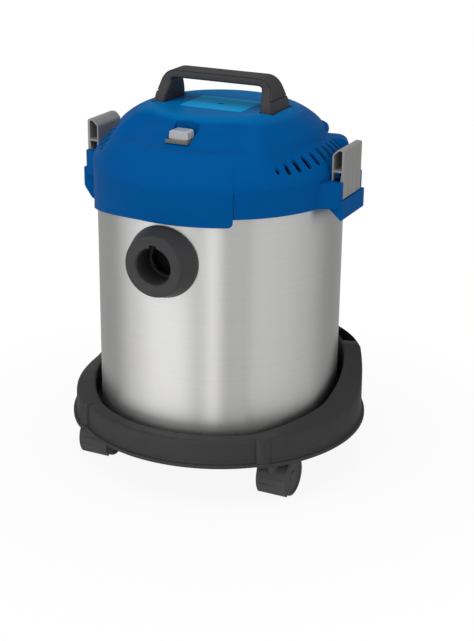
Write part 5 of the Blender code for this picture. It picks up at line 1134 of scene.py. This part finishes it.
def make_handle():
    """Arched handle with the soft strip let into its outer face."""
    path = handle_path(18)
    normals = []
    for place in range(len(path)):
        ahead = path[min(place + 1, len(path) - 1)] - path[max(place - 1, 0)]
        normals.append(Vector((-ahead.y, ahead.x)).normalized())
    normals[0], normals[-1] = Vector((-1.0, 0.0)), Vector((1.0, 0.0))
    thick = HANDLE_THICK / 2
    highs = [thick - GRIP_THICK * smooth((point.y - GRIP_LINE + 0.0004) / 0.0008) for point in path]
    lows = [-thick - HANDLE_LEG_EXTRA * smooth((HANDLE_TOP - 0.0045 - point.y) / 0.006) for point in path]
    bar = sweep_bar("handle_bar", path, normals, 0.0, lows, highs, (0.0028, 0.0022))
    soften(bar, 0.0)
    place_piece(bar, "head", "black_plastic", BLACK, "carry_handle")
    held = [spot for spot in zip(path, normals) if spot[0].y > GRIP_LINE + 0.0006]
    lows, highs = [thick - GRIP_THICK + 0.0001] * len(held), [thick] * len(held)
    strip = sweep_bar("grip_strip", *zip(*held), GRIP_MARGIN, lows, highs, (0.0002, 0.0009))
    soften(strip, 0.0003, 2)
    place_piece(strip, "head", "soft_grip", GRIP, "handle_grip")


# ============ switch
def make_switch():
    """Plate with a bevelled frame, and the cloudy rocker block."""
    low, top = bezel_low.z, bezel_high.z
    plate = prism("switch_plate", switch_outline(SWITCH_HALF, SWITCH_HALF, 0.0014), low, top)
    window = switch_outline(WINDOW_HALF_X, WINDOW_HALF_Y, 0.0005)
    cut(plate, prism("plate_window", window, low - 0.01, top + 0.01))
    soften(plate, 0.0007, 3)
    place_piece(plate, "head", "black_plastic", FRAME_GREY, "switch_bezel")

    half = rocker_high.x
    wide = (rocker_high.y - rocker_low.y) / 2
    vee, crown = rocker_low.z, rocker_high.z - 0.0018
    outline = rounded((
        (0.0, vee, 0.001), (half, vee + 0.0018, 0.0006), (half - 0.0008, crown - 0.0012, 0.0008),
        (half - 0.003, crown, 0.0012), (0.003 - half, crown, 0.0012),
        (0.0008 - half, crown - 0.0012, 0.0008), (-half, vee + 0.0018, 0.0006),
    ))
    rocker = prism("rocker_cap", outline, -SWITCH_CENTRE - wide, -SWITCH_CENTRE + wide, "xzy")
    soften(rocker, 0.0006, 3)
    place_piece(rocker, "switch_rocker", "clear_cap", CAP, "switch_rocker")


# ============ dolly
def fender_share(angle):
    """How fully the fender stands out at an angle, from 0 to 1."""
    side = abs(angle)
    nose = min(max((side - FENDER_FRONT) / FENDER_NOSE, 0.0), 1.0)
    tail = min(max((FENDER_REAR - side) / FENDER_NOSE, 0.0), 1.0)
    return math.sqrt(nose * (2.0 - nose)) * math.sqrt(tail * (2.0 - tail))


def nose_swell(side):
    """How far the boss at the fender's front end stands out, and the groove behind it goes in."""
    boss = max(1.0 - ((side - NOSE_MIDDLE) / NOSE_HALF) ** 2, 0.0)
    groove = max(1.0 - abs(side - NOSE_GROOVE) / NOSE_GROOVE_HALF, 0.0)
    return NOSE_PROUD * boss - NOSE_GROOVE_DEPTH * groove


def dolly_section(angle):
    """Closed outline of the dolly's ring at one angle, open underneath."""
    side = abs(angle)
    swell = nose_swell(side)
    face = INNER_WALL + BUMPER_DEPTH + FENDER_PROUD * fender_share(angle) + swell
    inner_top = outer_top = BUMPER_TOP
    if FENDER_FRONT < side < FENDER_REAR:
        tail = smooth((FENDER_REAR - side) / (FENDER_REAR - TOWER_REAR))
        inner_top += tail * follow(FENDER_INNER_RISE, side)
        outer_top += tail * follow(FENDER_OUTER_RISE, side)
    roof_inner, roof_outer = inner_top - ROOF_THICK, outer_top - ROOF_THICK
    if TOWER_FRONT <= side <= TOWER_REAR:
        roof_inner = roof_outer = BUMPER_TOP - ROOF_THICK
    inside, outside = INNER_WALL + DOLLY_WALL, face - DOLLY_WALL
    floor_low = FLOOR_TOP - DOLLY_WALL
    lip, lip_top = face - swell + LIP_STEP, LIP_BOTTOM + LIP_THICK
    bead = face + 0.0006
    outline = rounded((
        (lip, LIP_BOTTOM, 0.0008), (lip, lip_top, 0.0012), (bead, lip_top, 0.0006),
        (bead, lip_top + 0.0012, 0.0003), (face, lip_top + 0.0016, 0.0006),
        (face - 0.0006, outer_top, 0.0045), (INNER_WALL, inner_top, 0.0045),
        (INNER_WALL, FLOOR_TOP, 0.002), (FLOOR_HOLE, FLOOR_TOP, 0.001), (FLOOR_HOLE, floor_low, 0.001),
        (inside, floor_low, 0.001), (inside, roof_inner, 0.002), (outside, roof_outer, 0.002),
        (outside, LIP_BOTTOM, 0.0008),
    ))
    return [polar(point.x, angle, point.y) for point in outline]


def make_dolly():
    """Moulded ring with fenders, tool sockets and stem bosses."""
    marks = [FENDER_FRONT + FENDER_NOSE * share for share in (0.0, 0.03, 0.1, 0.25, 0.45, 0.7)]
    marks += [NOSE_GROOVE + shift * NOSE_GROOVE_HALF for shift in (-1.0, -0.4, 0.0, 0.4, 1.0)]
    marks += [TOWER_FRONT - 0.4, TOWER_FRONT, TOWER_REAR, TOWER_REAR + 0.4]
    marks += [FENDER_REAR - FENDER_NOSE * share for share in (0.6, 0.25, 0.06, 0.0)]
    angles = ring_angles(DOLLY_STEP, marks + [-mark for mark in marks])
    dolly = ring_of_sections("dolly_ring", [dolly_section(angle) for angle in angles])
    bosses, holes = bmesh.new(), bmesh.new()
    for name in CASTOR_NAMES:
        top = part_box("castor_" + name + "_hood")[1].z
        place = castor_stem(name)
        add_turned(bosses, ring_section(0.0, STEM_RADIUS + 0.0032, LIP_BOTTOM, top + DOLLY_WALL), 48, place)
        hole = ring_section(0.0, STEM_RADIUS + SEAT_GAP, LIP_BOTTOM - 0.01, top + SEAT_GAP)
        add_turned(holes, hole, 48, place)
    fuse(dolly, make_object("stem_bosses", bosses))
    cut(dolly, make_object("stem_holes", holes))
    sockets = []
    tower_top = BUMPER_TOP + FENDER_INNER_RISE[-1][1]
    inner = INNER_WALL + SOCKET_WALL
    outer = INNER_WALL + BUMPER_DEPTH + FENDER_PROUD - SOCKET_WALL
    steps = [mix(-0.5, 0.5, step / 12) * SOCKET_SPAN for step in range(13)]
    for side in (-1, 1):
        middle = side * (TOWER_FRONT + TOWER_REAR) / 2
        corners = [polar(outer, middle + step, 0.0) for step in steps]
        corners += [polar(inner, middle + step, 0.0) for step in reversed(steps)]
        reaches = {0: 0.003, 12: 0.003, 13: 0.003, 25: 0.003}
        outline = rounded([(*corner.xy, reaches.get(place, 0)) for place, corner in enumerate(corners)])
        sockets.append((outline, tower_top - SOCKET_DEPTH, tower_top + DOLLY_WALL))
    cut(dolly, prisms("tool_sockets", sockets))
    soften(dolly, 0.0, 2, 34.0)
    place_piece(dolly, "root", "black_plastic", DOLLY_BLACK, "dolly_base")


# ============ castors
def castor_stem(name):
    """Where a castor's stem stands, seen from above."""
    joint = next(entry for entry in frame["joints"] if entry["name"] == "castor_" + name + "_swivel")
    return tuple(joint["pos_m"][:2])


def make_castor(name):
    """Twin-wheel castor: hood with neck and stem, and its wheels."""
    castor = "castor_" + name
    wheel_low, wheel_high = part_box(castor + "_wheel_right")
    hood_low, hood_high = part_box(castor + "_hood")
    radius = (wheel_high.z - wheel_low.z) / 2
    hub = Vector(((hood_low.x + hood_high.x) / 2, (wheel_low.y + wheel_high.y) / 2, radius))
    half = (hood_high.x - hood_low.x) / 2
    near, far = wheel_low.x - hub.x, wheel_high.x - hub.x
    inner = radius + 0.0006
    hood_top = LIP_BOTTOM - SEAT_GAP
    outer = hood_top - radius - 0.0009
    shell = arc(hub.yz, outer, 222.0, 60.0, 40) + arc(hub.yz, inner, 60.0, 222.0, 40)
    hood = prism("hood_" + name, shell, hub.x - half, hub.x + half, "yzx")
    disc = arc(hub.yz, (inner + outer) / 2, 195.0, 70.0, 30) + arc(hub.yz, WEB_FOOT, 20.0, -150.0, 30)
    fuse(hood, prism("web", disc, hub.x - 0.005, hub.x + 0.005, "yzx"))
    foot = hub.z + NECK_RADIUS
    section = rounded((
        (0.0, foot, 0), (0.6 * NECK_RADIUS, foot, 0.001), (NECK_RADIUS, foot + NECK_RADIUS / 2, 0.002),
        (NECK_RADIUS, hood_top, 0.0008), (STEM_RADIUS, hood_top, 0.0003),
        (STEM_RADIUS, hood_high.z, 0.0008),
        (0.0, hood_high.z, 0),
    ))
    neck = bmesh.new()
    add_turned(neck, section, 48, castor_stem(name))
    collar = make_object("neck", neck)
    for side in (-1, 1):
        cut(collar, rod("wheel_room", inner + SEAT_GAP, near - 0.0005, 2 * half, 72, hub, (side, 0, 0)))
    fuse(hood, collar)
    cut(hood, rod("axle_bore", AXLE_BORE, -half, half, 24, hub, (1, 0, 0)))
    soften(hood, 0.0005, 2, 40.0)
    place_piece(hood, castor, "black_plastic", WHEEL, castor + "_hood")
    make_wheels(name, hub, radius, near, far)


def make_wheels(name, hub, radius, near, far):
    """Two wheels with hub rings, one on each side of a castor's hub."""
    section = rounded((
        (AXLE_BORE, near, 0.0003), (radius - 0.0055, near, 0.0003),
        (radius - 0.0050, near + 0.0012, 0.0004), (radius - 0.0032, near + 0.0012, 0.0004),
        (radius - 0.0028, near, 0.0004), (radius, near, 0.0015), (radius, far, 0.0016),
        (radius - 0.0030, far, 0.0006), (radius - 0.0036, far - 0.0012, 0.0005),
        (0.0062, far - 0.0016, 0.0006), (0.0056, far - 0.0006, 0.0006), (0.0, far - 0.0004, 0),
        (0.0, near + 0.0083, 0), (AXLE_BORE, near + 0.0083, 0.0002),
    ))
    for hand, side in (("left", -1), ("right", 1)):
        node = "castor_" + name + "_wheel_" + hand
        wheel = turned("wheel_" + name + "_" + hand, section, 96, laid(hub, (side, 0, 0)))
        soften(wheel, 0.0)
        place_piece(wheel, node, "wheel_plastic", WHEEL, node)


# ============ rear fittings
def make_rear():
    """Blower outlet with a rolled mouth."""
    outer, bore = PORT_OUTER, PORT_BORE
    groove, rim = outer - 0.0007, outer + 0.005
    start, end = port_low.y, port_high.y
    flange = BAND_RADIUS + SEAT_GAP
    section = rounded((
        (bore, start, 0.0005), (outer, start, 0.0005), (outer, flange, 0.0002),
        (rim, flange, 0.0008), (rim, flange + 0.003, 0.001),
        (outer, flange + 0.0035, 0.001), (outer, end - 0.004, 0.0004), (groove, end - 0.0035, 0.0004),
        (groove, end - 0.0025, 0.0004), (outer, end - 0.002, 0.0005), (outer, end, 0.0012),
        (bore, end, 0.001),
    ))
    port = turned("blower_outlet", section, 120, laid(PORT_PLACE, BACK))
    soften(port, 0.0)
    place_piece(port, "head", "black_plastic", BLACK, "blower_port")


# ============ studio
STUDIO_BANDS = (             # degrees round the object, and how bright the studio is there
    (-180.0, 0.38), (-140.0, 0.38), (-112.0, 0.34), (-92.0, 0.34), (-58.0, 0.76), (-40.0, 1.0),
    (-14.0, 1.0), (9.0, 0.6), (17.0, 1.05), (22.0, 1.05), (30.0, 0.46), (37.0, 0.5), (43.0, 0.6),
    (49.0, 0.46), (58.0, 0.66), (85.0, 0.63), (112.0, 0.53), (148.0, 0.3), (172.0, 0.3), (180.0, 0.38),
)


def stage_floor():
    """Large pale floor that keeps the object's shadow and fades into white."""
    mesh_edit = bmesh.new()
    bmesh.ops.create_circle(mesh_edit, cap_ends=True, segments=96, radius=9.0)
    floor = make_object("studio_floor", mesh_edit)
    material = bpy.data.materials.new("studio_floor")
    material.use_nodes = True
    tree = material.node_tree
    tree.nodes.clear()
    place = add_node(tree, "TexCoord", {}).outputs["Object"]
    reach = add_node(tree, "VectorMath", {0: place}, operation="LENGTH").outputs["Value"]
    fade = add_node(tree, "MapRange", {
        "Value": reach, "From Min": 0.12, "From Max": 0.5, "To Min": 0.91, "To Max": 1.0,
    }, interpolation_type="SMOOTHSTEP")
    seen = add_node(tree, "LightPath", {}).outputs["Is Camera Ray"]
    share = add_node(tree, "Math", {0: fade.outputs["Result"], 1: seen}, operation="MULTIPLY")
    pale = add_node(tree, "BsdfDiffuse", {"Color": (0.86, 0.86, 0.86, 1.0)})
    white = add_node(tree, "Emission", {"Strength": 1.0})
    blend = add_node(tree, "MixShader", {0: share.outputs[0], 1: pale.outputs[0], 2: white.outputs[0]})
    add_node(tree, "OutputMaterial", {"Surface": blend.outputs[0]})
    floor.data.materials.append(material)
    floor.visible_glossy = False


def studio_world():
    """White for the camera, and for the object a studio of soft boxes and dark cloths."""
    world = bpy.data.worlds.new("studio")
    bpy.context.scene.world = world
    world.use_nodes = True
    tree = world.node_tree
    tree.nodes.clear()
    place = add_node(tree, "TexCoord", {}).outputs["Generated"]
    parts = add_node(tree, "SeparateXYZ", {0: place}).outputs
    front = add_node(tree, "Math", {0: parts["Y"], 1: -1.0}, operation="MULTIPLY").outputs[0]
    turn = add_node(tree, "Math", {0: parts["X"], 1: front}, operation="ARCTAN2").outputs[0]
    share = spread(tree, turn, 0.0, 1.0, -math.pi, math.pi)
    bands = add_node(tree, "ValToRGB", {"Fac": share})
    bands.color_ramp.interpolation = "EASE"
    marks = bands.color_ramp.elements
    while len(marks) < len(STUDIO_BANDS):
        marks.new(0.5)
    for mark, (angle, level) in zip(marks, STUDIO_BANDS):
        mark.position = angle / 360.0 + 0.5
        mark.color = (level, level, level, 1.0)
    studio = add_node(tree, "Background", {"Color": bands.outputs["Color"]}).outputs[0]
    white = add_node(tree, "Background", {"Color": (1.0, 1.0, 1.0, 1.0)}).outputs[0]
    seen = add_node(tree, "LightPath", {}).outputs["Is Camera Ray"]
    blend = add_node(tree, "MixShader", {0: seen, 1: studio, 2: white})
    add_node(tree, "OutputWorld", {"Surface": blend.outputs[0]})


def add_lamp(name, angle, distance, height, size, power):
    """Soft rectangular lamp that looks at the drum's middle."""
    lamp = bpy.data.lights.new(name, "AREA")
    lamp.shape = "RECTANGLE"
    lamp.size, lamp.size_y = size
    lamp.energy = power
    item = bpy.data.objects.new(name, lamp)
    item.location = polar(distance, angle, height)
    aim = Vector((0.0, 0.0, 0.22)) - item.location
    item.rotation_euler = aim.to_track_quat("-Z", "Y").to_euler()
    item.visible_glossy = False
    bpy.context.scene.collection.objects.link(item)


CAMERA_DISTANCE = 1.45
CAMERA_HEIGHT = 0.70233
CAMERA_AZIMUTH = 26.0
CAMERA_PITCH = 20.854
CAMERA_YAW = 0.742
CAMERA_ROLL = -0.698
CAMERA_FOCUS = 1416.29       # focal length in pixels of the 474 x 641 frame
FRAME_HEIGHT = 641
SENSOR = 36.0


def make_camera():
    """Camera at the photograph's angle."""
    data = bpy.data.cameras.new("camera")
    data.sensor_fit = "AUTO"
    data.sensor_width = SENSOR
    data.lens = CAMERA_FOCUS / FRAME_HEIGHT * SENSOR
    camera = bpy.data.objects.new("camera", data)
    yaw, pitch, roll = (math.radians(value) for value in (CAMERA_YAW, CAMERA_PITCH, CAMERA_ROLL))
    level = Vector((math.cos(yaw), -math.sin(yaw), 0.0))
    ahead = Vector((math.sin(yaw), math.cos(yaw), 0.0))
    forward = ahead * math.cos(pitch) - Vector((0, 0, 1)) * math.sin(pitch)
    upward = ahead * math.sin(pitch) + Vector((0, 0, 1)) * math.cos(pitch)
    right = level * math.cos(roll) - upward * math.sin(roll)
    above = level * math.sin(roll) + upward * math.cos(roll)
    turn = Matrix((right, above, -forward)).transposed().to_4x4()
    swing = Matrix.Rotation(math.radians(CAMERA_AZIMUTH), 4, "Z")
    place = Vector((0.0, -CAMERA_DISTANCE, CAMERA_HEIGHT))
    camera.matrix_world = swing @ Matrix.Translation(place) @ turn
    bpy.context.scene.collection.objects.link(camera)
    bpy.context.scene.camera = camera


def make_studio():
    """Floor, world, lamps and camera."""
    bpy.context.scene.view_settings.view_transform = "Standard"
    stage_floor()
    studio_world()
    add_lamp("lamp_left", -40.0, 1.5, 0.75, (0.9, 1.3), 3.0)
    add_lamp("lamp_right", 75.0, 1.5, 0.6, (0.9, 1.2), 2.5)
    add_lamp("lamp_top", 10.0, 0.6, 1.65, (1.1, 1.1), 7.0)
    make_camera()


# ============ whole object
dress_cad_nodes()
make_drum()
make_inlet()
make_collar()
for hand, side in (("left", -1), ("right", 1)):
    make_latch(hand, side)
make_cover()
make_panel()
make_handle()
make_switch()
make_dolly()
for castor in CASTOR_NAMES:
    make_castor(castor)
make_rear()
make_studio()
bpy.context.view_layer.update()
